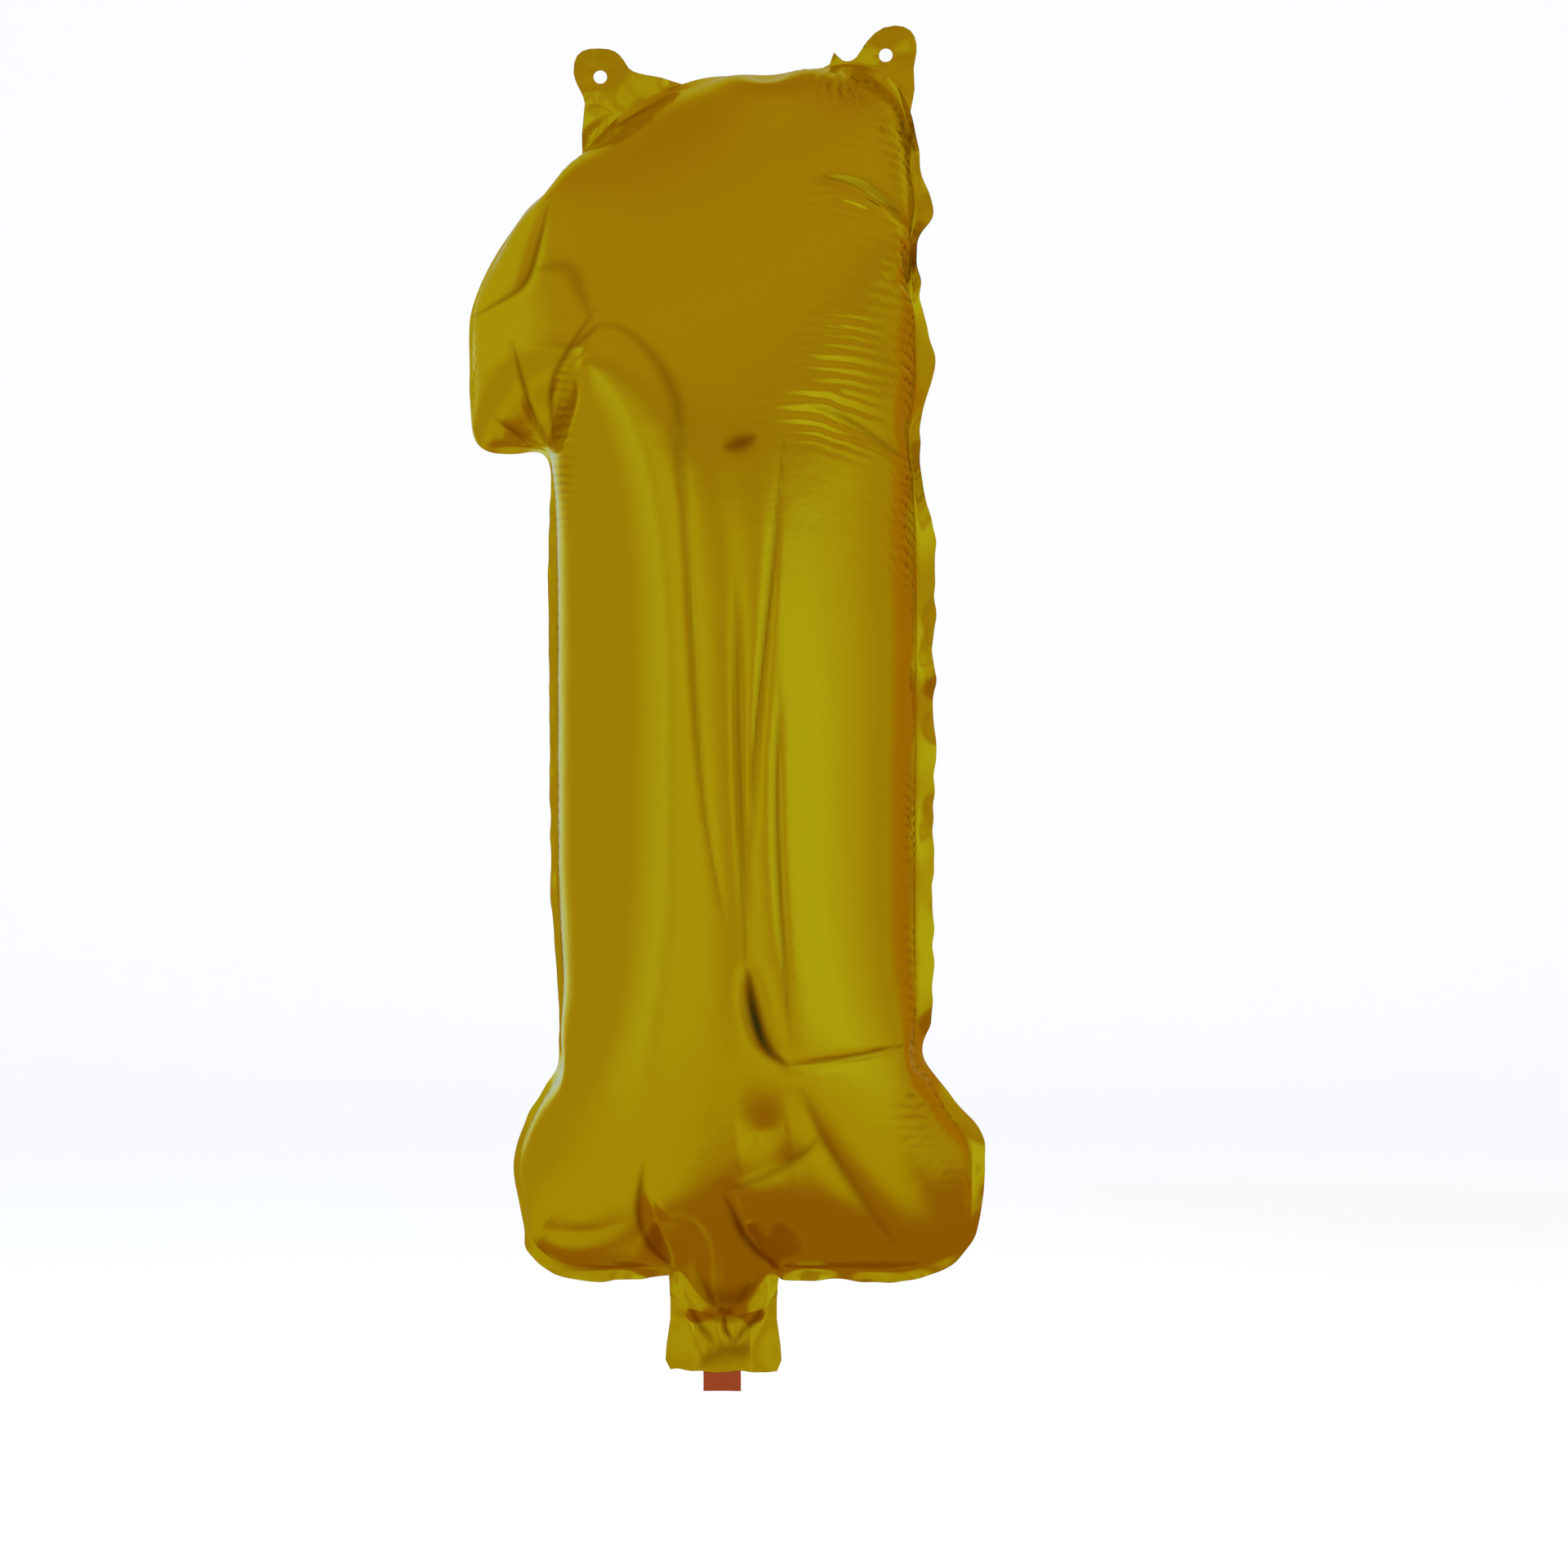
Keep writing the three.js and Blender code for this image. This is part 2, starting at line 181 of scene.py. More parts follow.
def mesh_object(name, points, faces, material):
    """A smooth-shaded object from points in metres and faces."""
    mesh = bpy.data.meshes.new(name)
    mesh.from_pydata([tuple(p) for p in points], [], [tuple(int(i) for i in f) for f in faces])
    mesh.update()
    mesh.materials.append(material)
    mesh.shade_smooth()
    piece = bpy.data.objects.new(name, mesh)
    bpy.context.collection.objects.link(piece)
    return piece


def grid_mesh(name, points, material, flipped):
    """A mesh over a grid of points in millimetres, given as (3, rows, columns).

    Where its rows run down, its faces look to the front, or to the back if flipped.
    """
    rows, columns = points.shape[1:]
    number = np.arange(rows * columns).reshape(rows, columns)
    corners = [number[:-1, :-1], number[1:, :-1], number[1:, 1:], number[:-1, 1:]]
    faces = np.stack([c.ravel() for c in corners], axis=1)
    if flipped:
        faces = faces[:, ::-1]
    return mesh_object(name, points.reshape(3, -1).T * MM, faces, material)


def make_floor():
    """A pale sweep: a floor that curves up into a wall behind the balloon."""
    profile = [(-SWEEP_HALF_WIDTH, 0.0)]
    for k in range(SWEEP_STEPS + 1):
        radians = math.pi / 2 * k / SWEEP_STEPS
        y = SWEEP_WALL - SWEEP_BEND + SWEEP_BEND * math.sin(radians)
        profile.append((y, SWEEP_BEND - SWEEP_BEND * math.cos(radians)))
    profile.append((SWEEP_WALL, SWEEP_HEIGHT))
    points = [(x, y, FLOOR + z) for y, z in profile for x in (-SWEEP_HALF_WIDTH, SWEEP_HALF_WIDTH)]
    faces = [(2 * k, 2 * k + 1, 2 * k + 3, 2 * k + 2) for k in range(len(profile) - 1)]
    material, _ = principled("pale_sweep", (0.9, 0.9, 0.9), 0.8)
    mesh_object("floor_sweep", points, faces, material)


def between(value, low, high):
    """0 below low, 1 above high and smooth between them."""
    t = np.clip((value - low) / (high - low), 0, 1)
    return t * t * (3 - 2 * t)


def room_color(turn, rise):
    """The colour of the room round the balloon, as its foil reflects it, by turn and rise above the horizon.

    Each row below names a colour and the share of it that covers what the rows before it gave.
    """
    wall_turns = [at for at, _ in WALLS]
    walls = [np.interp(turn, wall_turns, [color[k] for _, color in WALLS]) for k in range(3)]
    color = np.stack(walls, axis=-1)
    level = between(rise, -24, -14) * (1 - between(rise, 12, 26))
    side_from = np.interp(turn, (60, 80, 100, 120), (-34, -25, -12, -10))
    dark_from = np.interp(turn, DARK_FLOOR_TURNS, DARK_FLOOR_FROM)
    before_window = 1 - between(-turn, 138, 148)
    neck_side = between(-turn, 78, 98) * before_window
    left_behind = between(-turn, 92, 125) * before_window
    upper_left = between(-turn, 75, 95) * between(rise, 4, 12) * (1 - between(rise, 36, 48))
    behind = between(np.abs(turn), 115, 135) * between(rise, 4, 12) * (1 - between(rise, 48, 62))
    for share, other in (
        (between(rise, 13, 16), LINTEL),
        (between(rise, 19, 34), CEILING),
        (between(rise, 40, 80), HIGH_CEILING),
        (1 - between(rise, -36, -20), LOW_SIDE),
        (1 - between(rise, dark_from - 13, dark_from + 8), FLOOR_SHADE),
        (between(turn, 60, 78) * (1 - between(rise, side_from - 6, side_from + 6)), FLOOR_SHADE),
        (left_behind * (1 - between(rise, -44, -32)), LOW_BEHIND),
        (neck_side * between(rise, -77, -71) * (1 - between(rise, -50, -44)), FLOOR_SHADE),
        (np.maximum(upper_left, behind), YELLOW),
        (between(turn, 112, 122) * level, ORANGE_CORNER),
        (between(np.maximum(-turn, turn - 32), 128, 146) * level, WHITE),
        (between(-turn, 140, 147) * (1 - between(-turn, 166, 172)) * level, WINDOW),
    ):
        color = color + (np.array(other) - color) * share[..., None]
    return color


def room_material():
    """Light of the colours stored as tint."""
    material = bpy.data.materials.new("room")
    material.use_nodes = True
    nodes = material.node_tree.nodes
    nodes.clear()
    tint = nodes.new("ShaderNodeAttribute")
    tint.attribute_name = "tint"
    emission = nodes.new("ShaderNodeEmission")
    output = nodes.new("ShaderNodeOutputMaterial")
    material.node_tree.links.new(tint.outputs["Color"], emission.inputs["Color"])
    material.node_tree.links.new(emission.outputs["Emission"], output.inputs["Surface"])
    material.cycles.emission_sampling = "NONE"
    return material


def make_room():
    """A coloured shell round the balloon, down to the floor, that only reflections see."""
    turn, rise = np.meshgrid(np.linspace(-180, 180, 241), np.linspace(-89.9, 89.9, 121))
    to_floor = AIM.z - FLOOR - ROOM_ABOVE_FLOOR
    radius = np.minimum(ROOM_RADIUS, to_floor / np.maximum(np.sin(np.radians(-rise)), 1e-6))
    radius[rise > 0] = ROOM_RADIUS
    flat = radius * np.cos(np.radians(rise))
    x = AIM.x + flat * np.sin(np.radians(turn))
    y = AIM.y - flat * np.cos(np.radians(turn))
    z = AIM.z + radius * np.sin(np.radians(rise))
    room = grid_mesh("room", np.stack([x, y, z]) / MM, room_material(), flipped=False)
    color = room_color(turn, rise).reshape(-1, 3)
    layer = room.data.attributes.new("tint", "FLOAT_COLOR", "POINT")
    layer.data.foreach_set("color", np.c_[color, np.ones(len(color))].astype(np.float32).ravel())
    room.visible_camera = False
    room.visible_shadow = False
    room.visible_diffuse = False


def make_light(name, location, size, energy):
    """A soft lamp that looks at the balloon and lights the floor, but isn't seen in the foil."""
    data = bpy.data.lights.new(name, "AREA")
    data.shape = "RECTANGLE"
    data.size, data.size_y = size
    data.energy = energy
    light = bpy.data.objects.new(name, data)
    bpy.context.collection.objects.link(light)
    light.location = location
    light.rotation_euler = (AIM - Vector(location)).to_track_quat("-Z", "Y").to_euler()
    light.visible_camera = False
    light.visible_glossy = False


def make_studio():
    """An even pale world, three soft lamps and the room's reflections."""
    world = bpy.data.worlds.new("studio")
    bpy.context.scene.world = world
    world.use_nodes = True
    background = world.node_tree.nodes["Background"]
    background.inputs["Color"].default_value = (0.95, 0.97, 1.0, 1)
    background.inputs["Strength"].default_value = 1
    make_light("left_softbox", location=(-1.6, -0.9, 0.1), size=(1.0, 2.0), energy=14)
    make_light("right_softbox", location=(1.6, -0.9, 0.1), size=(1.0, 2.0), energy=14)
    make_light("top_softbox", location=(0.3, -0.6, 1.6), size=(1.2, 1.2), energy=12)
    make_room()
    bpy.context.scene.view_settings.view_transform = "Standard"


# ---- The flat cut ---------------------------------------------------------------------------------------

# Columns of the film's grid to the left of the neck, across it and to its right, and its rows, at level 1
GRID = (13, 6, 14, 71)
EVENING_PASSES = 40


def curve(start, *segments, steps=24):
    """Points along straight lines, given as (end,), and Bezier curves, given as (control, ..., end)."""
    points = [np.array([start], float)]
    t = np.linspace(0, 1, steps + 1)[1:, None]
    for segment in segments:
        controls = [points[-1][-1]] + [np.array(p, float) for p in segment]
        degree = len(controls) - 1
        shares = [math.comb(degree, k) * (1 - t) ** (degree - k) * t**k for k in range(degree + 1)]
        points.append(sum(share * control for share, control in zip(shares, controls)))
    return np.vstack(points)


def length_up_to(path):
    """The length of a path up to each of its points."""
    return np.r_[0, np.cumsum(np.linalg.norm(np.diff(path, axis=0), axis=1))]


def along(path, shares):
    """Points at the given shares of a path's length."""
    length = length_up_to(path)
    return np.c_[[np.interp(shares, length / length[-1], path[:, k]) for k in (0, 1)]].T


def flat_edges():
    """The seam's line on the flat cut, as its top, left, right and bottom edges."""
    top_left = (-92, -70)
    top_right = (58, -20)
    bottom_left = (-66, -344)
    bottom_right = (71, -342)
    neck_left = (NECK_CENTRE - NECK_INSIDE / 2, FOOT_EDGE)
    neck_right = (NECK_CENTRE + NECK_INSIDE / 2, FOOT_EDGE)
    top = curve(
        top_left,
        ((-89, -60), (-84, -53)),
        ((-58, -24), (-30, 3.8), (4, 3.8)),
        ((22, 3.8),),
        ((42, 3.8), (57, -1), top_right),
    )
    left = curve(
        top_left,
        ((-97, -86),),
        ((-99, -98), (-90, -105)),
        ((-81.5, -111), (-81.5, -119)),
        ((-75.5, -262),),
        ((-73.5, -300),),
        ((-73, -330), bottom_left),
    )
    right = curve(
        top_right,
        ((62, -44),),
        ((68, -80), (74, -122)),
        ((76, -145), (75.6, -170)),
        ((74, -285),),
        ((77, -318), bottom_right),
    )
    bottom_to_neck = curve(bottom_left, ((-60, -357), (-42, -359.5)), (neck_left,))
    across_neck = curve(neck_left, (neck_right,))
    neck_to_corner = curve(neck_right, ((42, -359.5),), ((64, -357), bottom_right))
    return top, left, right, (bottom_to_neck, across_neck, neck_to_corner)


def finished_seam():
    """Where the seam ends up, as its stretches from the neck's left end clockwise to its right end."""
    neck_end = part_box("front_panel")[0].z / MM + 0.05
    neck_left = NECK_CENTRE - NECK_INSIDE / 2
    neck_right = NECK_CENTRE + NECK_INSIDE / 2
    bottom_left = (-62, -343)
    top_left = (-79, -74)
    top_right = (48.5, -22)
    bottom_right = (65, -341.5)
    neck_top_left = (neck_left - 1, -352.5)
    neck_top_right = (neck_right + 1, -352.5)
    left = curve(
        bottom_left,
        ((-65.6, -324),),
        ((-65.6, -315), (-59, -304)),
        ((-51.5, -292), (-51.5, -280)),
        ((-54, -244),),
        ((-54.5, -122),),
        ((-54.5, -112), (-60, -112)),
        ((-72, -112),),
        ((-78, -112), (-79, -107)),
        (top_left,),
    )
    top = curve(
        top_left,
        ((-77, -61), (-63.4, -43.8)),
        ((-44.5, -20.5), (-24.5, -5.2), (2, -2.4)),
        ((26, -0.8),),
        ((40, -1.4), (47.5, -8), top_right),
    )
    right = curve(
        top_right,
        ((50.5, -26), (48.2, -30)),
        ((52, -41), (48.3, -52)),
        ((50.5, -60), (48.3, -69)),
        ((52.5, -89), (48.2, -108)),
        ((50.5, -125), (50.5, -150)),
        ((50, -282),),
        ((51.5, -293), (58.5, -304.5)),
        ((66.4, -312.5), (66.8, -318)),
        ((67.2, -335), bottom_right),
    )
    return (
        curve((neck_left, neck_end), (neck_top_left,)),
        curve(neck_top_left, ((-21, -351.5), (-26, -351.5)), ((-44, -352),), ((-56, -352), bottom_left)),
        left,
        top,
        right,
        curve(bottom_right, ((62, -350), (46, -352)), ((18, -351.5),), ((11, -351.5), neck_top_right)),
        curve(neck_top_right, ((neck_right, neck_end),)),
    )


def flat_grid(level):
    """The flat cut as a grid of points: rows from the top, columns from the left, then the neck's rows."""
    top, left, right, bottom = flat_edges()
    counts = [n * level for n in GRID[:3]]
    rows = GRID[3] * level
    u = np.linspace(0, 1, sum(counts) + 1)
    v = np.linspace(0, 1, rows + 1)
    stretches = [along(path, np.linspace(0, 1, n + 1)) for path, n in zip(bottom, counts)]
    across = np.vstack([stretches[0], stretches[1][1:], stretches[2][1:]])
    upper = along(top, u)
    lefts = along(left, v)
    rights = along(right, v)
    u = u[None, :, None]
    v = v[:, None, None]
    grid = (1 - v) * upper + v * across + (1 - u) * lefts[:, None] + u * rights[:, None]
    grid -= (1 - u) * (1 - v) * upper[0] + u * (1 - v) * upper[-1]
    grid -= (1 - u) * v * across[0] + u * v * across[-1]
    for _ in range(EVENING_PASSES * level * level):
        around = grid[:-2, 1:-1] + grid[2:, 1:-1] + grid[1:-1, :-2] + grid[1:-1, 2:]
        grid[1:-1, 1:-1] = around / 4
    neck_rows = 2 * level
    neck = np.repeat(grid[-1:], neck_rows, axis=0)
    neck[..., 1] -= NECK_STUB * np.arange(1, neck_rows + 1)[:, None] / neck_rows
    used = np.ones((rows + 1 + neck_rows, sum(counts) + 1), bool)
    used[rows + 1 :, : counts[0]] = False
    used[rows + 1 :, counts[0] + counts[1] + 1 :] = False
    return np.vstack([grid, neck]), used, rows + 1


# ---- Inflation ------------------------------------------------------------------------------------------

PRESSURE = 2e-4  # over the film's stiffness, which leaves about 1% of stretch
NODE_MASS = 7.0
KEPT_KINK = 3.0  # kinks of the seam shorter than this are left as the relaxation made them
SLOWING = 0.985
LEAST_GAP = 0.3  # between the two films, inside the seam
# Where the seam's right stretch starts to buckle, as (height, how far in, how far back)
BUCKLES = (
    (-14, 1.0, 1.0),
    (-30, 1.2, -1.0),
    (-52, 1.6, 1.2),
    (-69, 1.0, -1.0),
    (-108, 2.0, 1.5),
    (-292, 1.6, -1.5),
)
BUCKLE_LENGTH = 4
# For each stretch of the seam, as finished_seam gives them: shares of the stretch's length, the margin's
# finished width at each of these and its lean to the back
MARGIN_SHAPE = (
    ((0, 1), (4, 4), (0, 0)),
    ((0, 1), (4, 3.6), (0, 0.3)),
    ((0, 0.25, 0.7, 0.85, 1), (1.6, 2.2, 2.6, 1.4, 1.2), (1.5, 0.9, 0.7, 2.0, 2.2)),
    ((0, 0.3, 0.45, 1), (1.2, 1.2, 2.6, 2.8), (2.2, 2.0, 0.5, 0.3)),
    (
        (0, 0.025, 0.06, 0.092, 0.118, 0.145, 0.21, 0.265, 0.34, 0.8, 1),
        (3.5, 3, 6.5, 3, 5.5, 3, 7.5, 3, 6.3, 5.5, 4),
        (0.3, 0.2, 0.4, 0.2, 0.4, 0.2, 0.5, 0.2, 0.5, 0.45, 0.2),
    ),
    ((0, 1), (4, 4), (0.2, 0)),
    ((0, 1), (4, 4), (0, 0)),
)


def smooth_line(values, times):
    """Evens out a line of values in place, and leaves its ends."""
    for _ in range(times):
        values[..., 1:-1] = (values[..., :-2] + 2 * values[..., 1:-1] + values[..., 2:]) / 4
    return values


def outward(line):
    """Unit vectors in the plane of the seal that point away from the gas, along the seam's line."""
    step = smooth_line(np.gradient(line, axis=1), 6)
    normal = np.stack([-step[2], 0 * step[0], step[0]])
    return normal / (np.linalg.norm(normal, axis=0) + 1e-9)


class Envelope:
    """Both films as grids that share their seam, and the sealed margin as rings round it."""

    def __init__(self, level):
        flat, self.used, self.main_rows = flat_grid(level)
        self.walk_seam(level)
        self.inner = self.used.copy()
        self.inner[self.seam] = False
        self.flat = np.stack([flat[..., 0], 0 * flat[..., 0], flat[..., 1]]).astype(np.float32)
        self.flat_margin = self.margin_round(self.flat[self.on_seam])
        self.film_links = self.links(self.flat, self.used)
        self.margin_links = self.links(self.flat_margin, np.ones(self.flat_margin.shape[1:], bool))
        self.cells = self.used[:-1, :-1] & self.used[1:, :-1] & self.used[:-1, 1:] & self.used[1:, 1:]
        used = self.used.astype(np.float32)
        self.bends = (used[:, 2:] * used[:, 1:-1] * used[:, :-2], used[2:] * used[1:-1] * used[:-2])
        self.film = np.repeat(self.flat[:, None], 2, axis=1)
        self.margin = self.flat_margin.copy()
        self.film_speed = np.zeros_like(self.film)
        self.margin_speed = np.zeros_like(self.margin)

    def walk_seam(self, level):
        """The seam's grid places, clockwise from the neck's left end, and where on it the stretches meet."""
        rows, columns = self.used.shape
        last = self.main_rows - 1
        left = GRID[0] * level
        right = (GRID[0] + GRID[1]) * level
        walk = [(r, left) for r in range(rows - 1, last, -1)]
        walk += [(last, c) for c in range(left, -1, -1)]
        walk += [(r, 0) for r in range(last - 1, -1, -1)]
        walk += [(0, c) for c in range(1, columns)]
        walk += [(r, columns - 1) for r in range(1, last + 1)]
        walk += [(last, c) for c in range(columns - 2, right - 1, -1)]
        walk += [(r, right) for r in range(last + 1, rows)]
        self.seam = tuple(np.array(walk).T)
        self.on_seam = (..., *self.seam)
        corners = [(last, left), (last, 0), (0, 0), (0, columns - 1), (last, columns - 1), (last, right)]
        self.landmarks = [0, *(walk.index(corner) for corner in corners), len(walk) - 1]

    @staticmethod
    def margin_round(line):
        """The flat margin's rings of points outside a seam line, the seam itself first."""
        reach = MARGIN * np.arange(MARGIN_RINGS + 1) / MARGIN_RINGS
        return line[:, None] + outward(line.copy())[:, None] * reach[None, :, None].astype(np.float32)

    @staticmethod
    def links(points, used):
        """Every pair of neighbouring points, as slices of both ends, the rest length and the stiffness."""
        rows, columns = used.shape
        found = []
        for down, over, stiffness in ((0, 1, 1.0), (1, 0, 1.0), (1, 1, 0.5), (1, -1, 0.5)):
            near = (slice(0, rows - down), slice(max(-over, 0), columns - max(over, 0)))
            far = (slice(down, rows), slice(max(over, 0), columns + min(over, 0)))
            rest = np.linalg.norm(points[(slice(None), *far)] - points[(slice(None), *near)], axis=0)
            joined = used[near] & used[far]
            found.append((near, far, np.where(joined, rest, 1), (stiffness * joined).astype(np.float32)))
        return found

    def take_shape(self, coarse, rng, roughness, buckles=()):
        """Starts from a coarser envelope's shape, roughened a little so that the film finds its folds."""
        rows, columns = self.used.shape
        row = np.linspace(0, coarse.used.shape[0] - 1, rows)
        column = np.linspace(0, coarse.used.shape[1] - 1, columns)
        above = np.minimum(row.astype(int), row[-1] - 1).astype(int)
        before = np.minimum(column.astype(int), column[-1] - 1).astype(int)
        down = (row - above)[:, None]
        over = column - before
        shape = coarse.film[..., above, :] * (1 - down) + coarse.film[..., above + 1, :] * down
        shape = shape[..., before] * (1 - over) + shape[..., before + 1] * over
        shape[1] += rng.normal(size=shape[1].shape) * roughness
        self.film[:] = shape
        self.close_seam(rng, roughness, buckles)

    def start_flat(self, rng, roughness):
        """Starts from the flat cut, with the films a little apart."""
        self.film[1] += rng.normal(size=self.film[1].shape) * roughness
        self.film[1, 0] -= 1
        self.film[1, 1] += 1
        self.close_seam(rng, roughness)

    def close_seam(self, rng, roughness, buckles=()):
        """Brings both films' edges together, with the given buckles, and starts the margin beside them."""
        line = self.film[self.on_seam].mean(axis=1)
        for z, inward, back in buckles:
            near = np.exp(-(((line[2] - z) / BUCKLE_LENGTH) ** 2)) * (line[0] > 20)
            line[0] -= inward * near
            line[1] += back * near
        self.film[self.on_seam] = line[:, None]
        self.margin[:] = self.margin_round(line)
        self.margin[1, 1:] += rng.normal(size=self.margin[1, 1:].shape) * roughness

    @staticmethod
    def pull(points, force, links, stiffness, push):
        """Adds each link's force. A link that is too short pushes with only a share of its stiffness."""
        for near, far, rest, strength in links:
            near, far = (Ellipsis, *near), (Ellipsis, *far)
            gap = points[far] - points[near]
            length = np.sqrt(gap[0] * gap[0] + gap[1] * gap[1] + gap[2] * gap[2]) + 1e-9
            change = length - rest
            change = np.where(change > 0, change, change * push)
            pulled = gap * (strength * stiffness * change / length)
            force[near] += pulled
            force[far] -= pulled

    @staticmethod
    def bend(points, force, stiffness, masks=(1, 1)):
        """Straightens every three neighbouring points, along the rows and down the columns."""
        three = (slice(0, -2), slice(1, -1), slice(2, None))
        along_rows = [(..., part) for part in three]
        down_columns = [(..., part, slice(None)) for part in three]
        for (low, mid, high), mask in zip((along_rows, down_columns), masks):
            bow = (points[high] - 2 * points[mid] + points[low]) * (stiffness * mask)
            force[mid] += 2 * bow
            force[high] -= bow
            force[low] -= bow

    def blow(self, force):
        """Adds the gas's push on each cell, outwards on both films.

        A cell's area is half of its diagonals' cross product, and its corners share the push: an eighth.
        """
        film = self.film
        one = film[..., 1:, 1:] - film[..., :-1, :-1]
        two = film[..., 1:, :-1] - film[..., :-1, 1:]
        push = np.stack(
            [
                one[1] * two[2] - one[2] * two[1],
                one[2] * two[0] - one[0] * two[2],
                one[0] * two[1] - one[1] * two[0],
            ]
        )
        push *= self.cells * np.float32(PRESSURE / 8)
        push[:, 0] *= -1
        for rows in (slice(1, None), slice(0, -1)):
            for columns in (slice(1, None), slice(0, -1)):
                force[..., rows, columns] += push

    def hold_neck(self):
        """The neck's lower end stays flat round the valve."""
        ends = (self.seam[0][[0, -1]], self.seam[1][[0, -1]])
        across = self.film[0, 0, -1] - (self.film[0, 0, ends[0], ends[1]]).mean()
        stand_off = VALVE_HALF_GAP * np.clip((NECK_INSIDE / 2 - np.abs(across)) / NECK_CLOSING, 0, 1)
        for side, sign in ((0, -1), (1, 1)):
            self.film[1, side, -1] = sign * stand_off
            self.film_speed[1, side, -1] = 0
        self.margin[1, :, [0, -1]] = 0
        self.margin_speed[1, :, [0, -1]] = 0
        self.film[(1, slice(None), *ends)] = 0

    def keep_sides(self):
        """The front film never passes through the back one."""
        front, back = self.film[1]
        crossed = (front > back - LEAST_GAP) & self.inner
        middle = (front + back) / 2
        front[crossed] = middle[crossed] - LEAST_GAP / 2
        back[crossed] = middle[crossed] + LEAST_GAP / 2
        self.film_speed[1, :, crossed] *= 0.5

    def relax(self, steps, push, film_bend, margin_bend=0.05, margin_stiffness=2.0):
        """Moves the film step by step towards rest. push is how much of its stiffness resists shortening."""
        for _ in range(steps):
            force = np.zeros_like(self.film)
            margin_force = np.zeros_like(self.margin)
            self.pull(self.film, force, self.film_links, 1.0, push)
            self.pull(self.margin, margin_force, self.margin_links, margin_stiffness, push)
            self.bend(self.film, force, film_bend, self.bends)
            self.bend(self.margin, margin_force, margin_bend)
            self.blow(force)
            at_seam = force[self.on_seam]
            shared = at_seam[:, 0] + at_seam[:, 1] + margin_force[:, 0]
            # A point of the seam is part of both films and of the margin, so it is three times as heavy
            force[self.on_seam] = shared[:, None] / 3
            margin_force[:, 0] = shared / 3
            self.film_speed = (self.film_speed + force / NODE_MASS) * SLOWING
            self.margin_speed = (self.margin_speed + margin_force / NODE_MASS) * SLOWING
            drift = self.film_speed.sum(axis=(1, 2, 3)) / (2 * self.used.sum())
            self.film_speed = (self.film_speed - drift[:, None, None, None]) * self.used
            self.margin_speed -= drift[:, None, None]
            self.film += self.film_speed
            self.margin += self.margin_speed
            self.hold_neck()
            self.keep_sides()

    def finished_line(self, line):
        """Where the seam's points belong on the finished outline, and the margin's width and lean there."""
        reached = np.zeros_like(line)
        widths = np.zeros(line.shape[1])
        leans = np.zeros(line.shape[1])
        for k, path in enumerate(finished_seam()):
            stretch = slice(self.landmarks[k], self.landmarks[k + 1] + 1)
            length = length_up_to(line[:, stretch].T)
            share = length / length[-1]
            shape_shares, width, lean = MARGIN_SHAPE[k]
            reached[:, stretch] = along(path, share).T
            widths[stretch] = np.interp(share, shape_shares, width)
            leans[stretch] = np.interp(share, shape_shares, lean)
        return reached, widths, leans

    def shift_film(self, shift):
        """Moves each point of the film by what the seam near it moves.

        It also notes each point's distance from the seam on the flat cut, as inset, and the length of seam
        from the neck's left end to where it is nearest, as way.
        """
        seam_points = self.flat[self.on_seam][[0, 2]].T
        self.inset = np.zeros(self.used.shape)
        self.way = np.zeros(self.used.shape)
        self.seam_way = length_up_to(seam_points)
        for row in range(len(self.used)):
            gap = self.flat[[0, 2], row].T[:, None] - seam_points
            squared = (gap**2).sum(axis=2)
            weight = (squared + 0.01) ** -1.5
            move = weight @ shift.T / weight.sum(axis=1, keepdims=True)
            self.film[0, :, row] += move[:, 0]
            self.film[2, :, row] += move[:, 1]
            self.inset[row] = np.sqrt(squared.min(axis=1))
            self.way[row] = self.seam_way[squared.argmin(axis=1)]
        self.inset[self.seam] = 0

    def fit(self):
        """Shifts the shape smoothly by a few millimetres, so that its seam follows the finished outline.

        It also marks the neck's last row of points, as end.
        """
        line = self.film[:, 0][self.on_seam][[0, 2]].astype(float)
        reached, widths, leans = self.finished_line(line)
        spacing = np.linalg.norm(np.diff(line, axis=1), axis=0).mean()
        shift = smooth_line(reached - line, int((KEPT_KINK / spacing) ** 2))
        widths = smooth_line(widths / MARGIN, 4)
        widths *= 1 + 0.2 * wander(np.linspace(0, 170, len(widths)), 5.5)
        offsets = self.margin - self.margin[:, :1]
        self.shift_film(shift)
        seam_now = self.film[:, 0][self.on_seam]
        self.margin = seam_now[:, None] + offsets * widths
        rings = np.arange(MARGIN_RINGS + 1)[:, None] / MARGIN_RINGS
        self.margin[1] += rings * MARGIN * widths * smooth_line(leans, 4)
        self.end = np.zeros(self.used.shape)
        self.end[-1] = 1


def inflate():
    """The inflated envelope, relaxed on a coarse grid first and then on finer ones."""
    rng = np.random.default_rng(SEED)
    coarse = Envelope(1)
    coarse.start_flat(rng, roughness=0.2)
    coarse.relax(steps=3500, push=0.1, film_bend=0.01)
    envelope = Envelope(2)
    envelope.take_shape(coarse, rng, roughness=0.05, buckles=BUCKLES)
    envelope.relax(steps=1200, push=0.15, film_bend=0.02)
    finest = Envelope(3)
    finest.take_shape(envelope, rng, roughness=0.05)
    finest.relax(steps=1200, push=0.4, film_bend=0.03)
    envelope = finest
    envelope.fit()
    return envelope



# ---- Where the creases and the tabs are -----------------------------------------------------------------

TICK_SPACING = 3.2  # of the fine gathers along the seam
TICK_DEPTH = 0.3
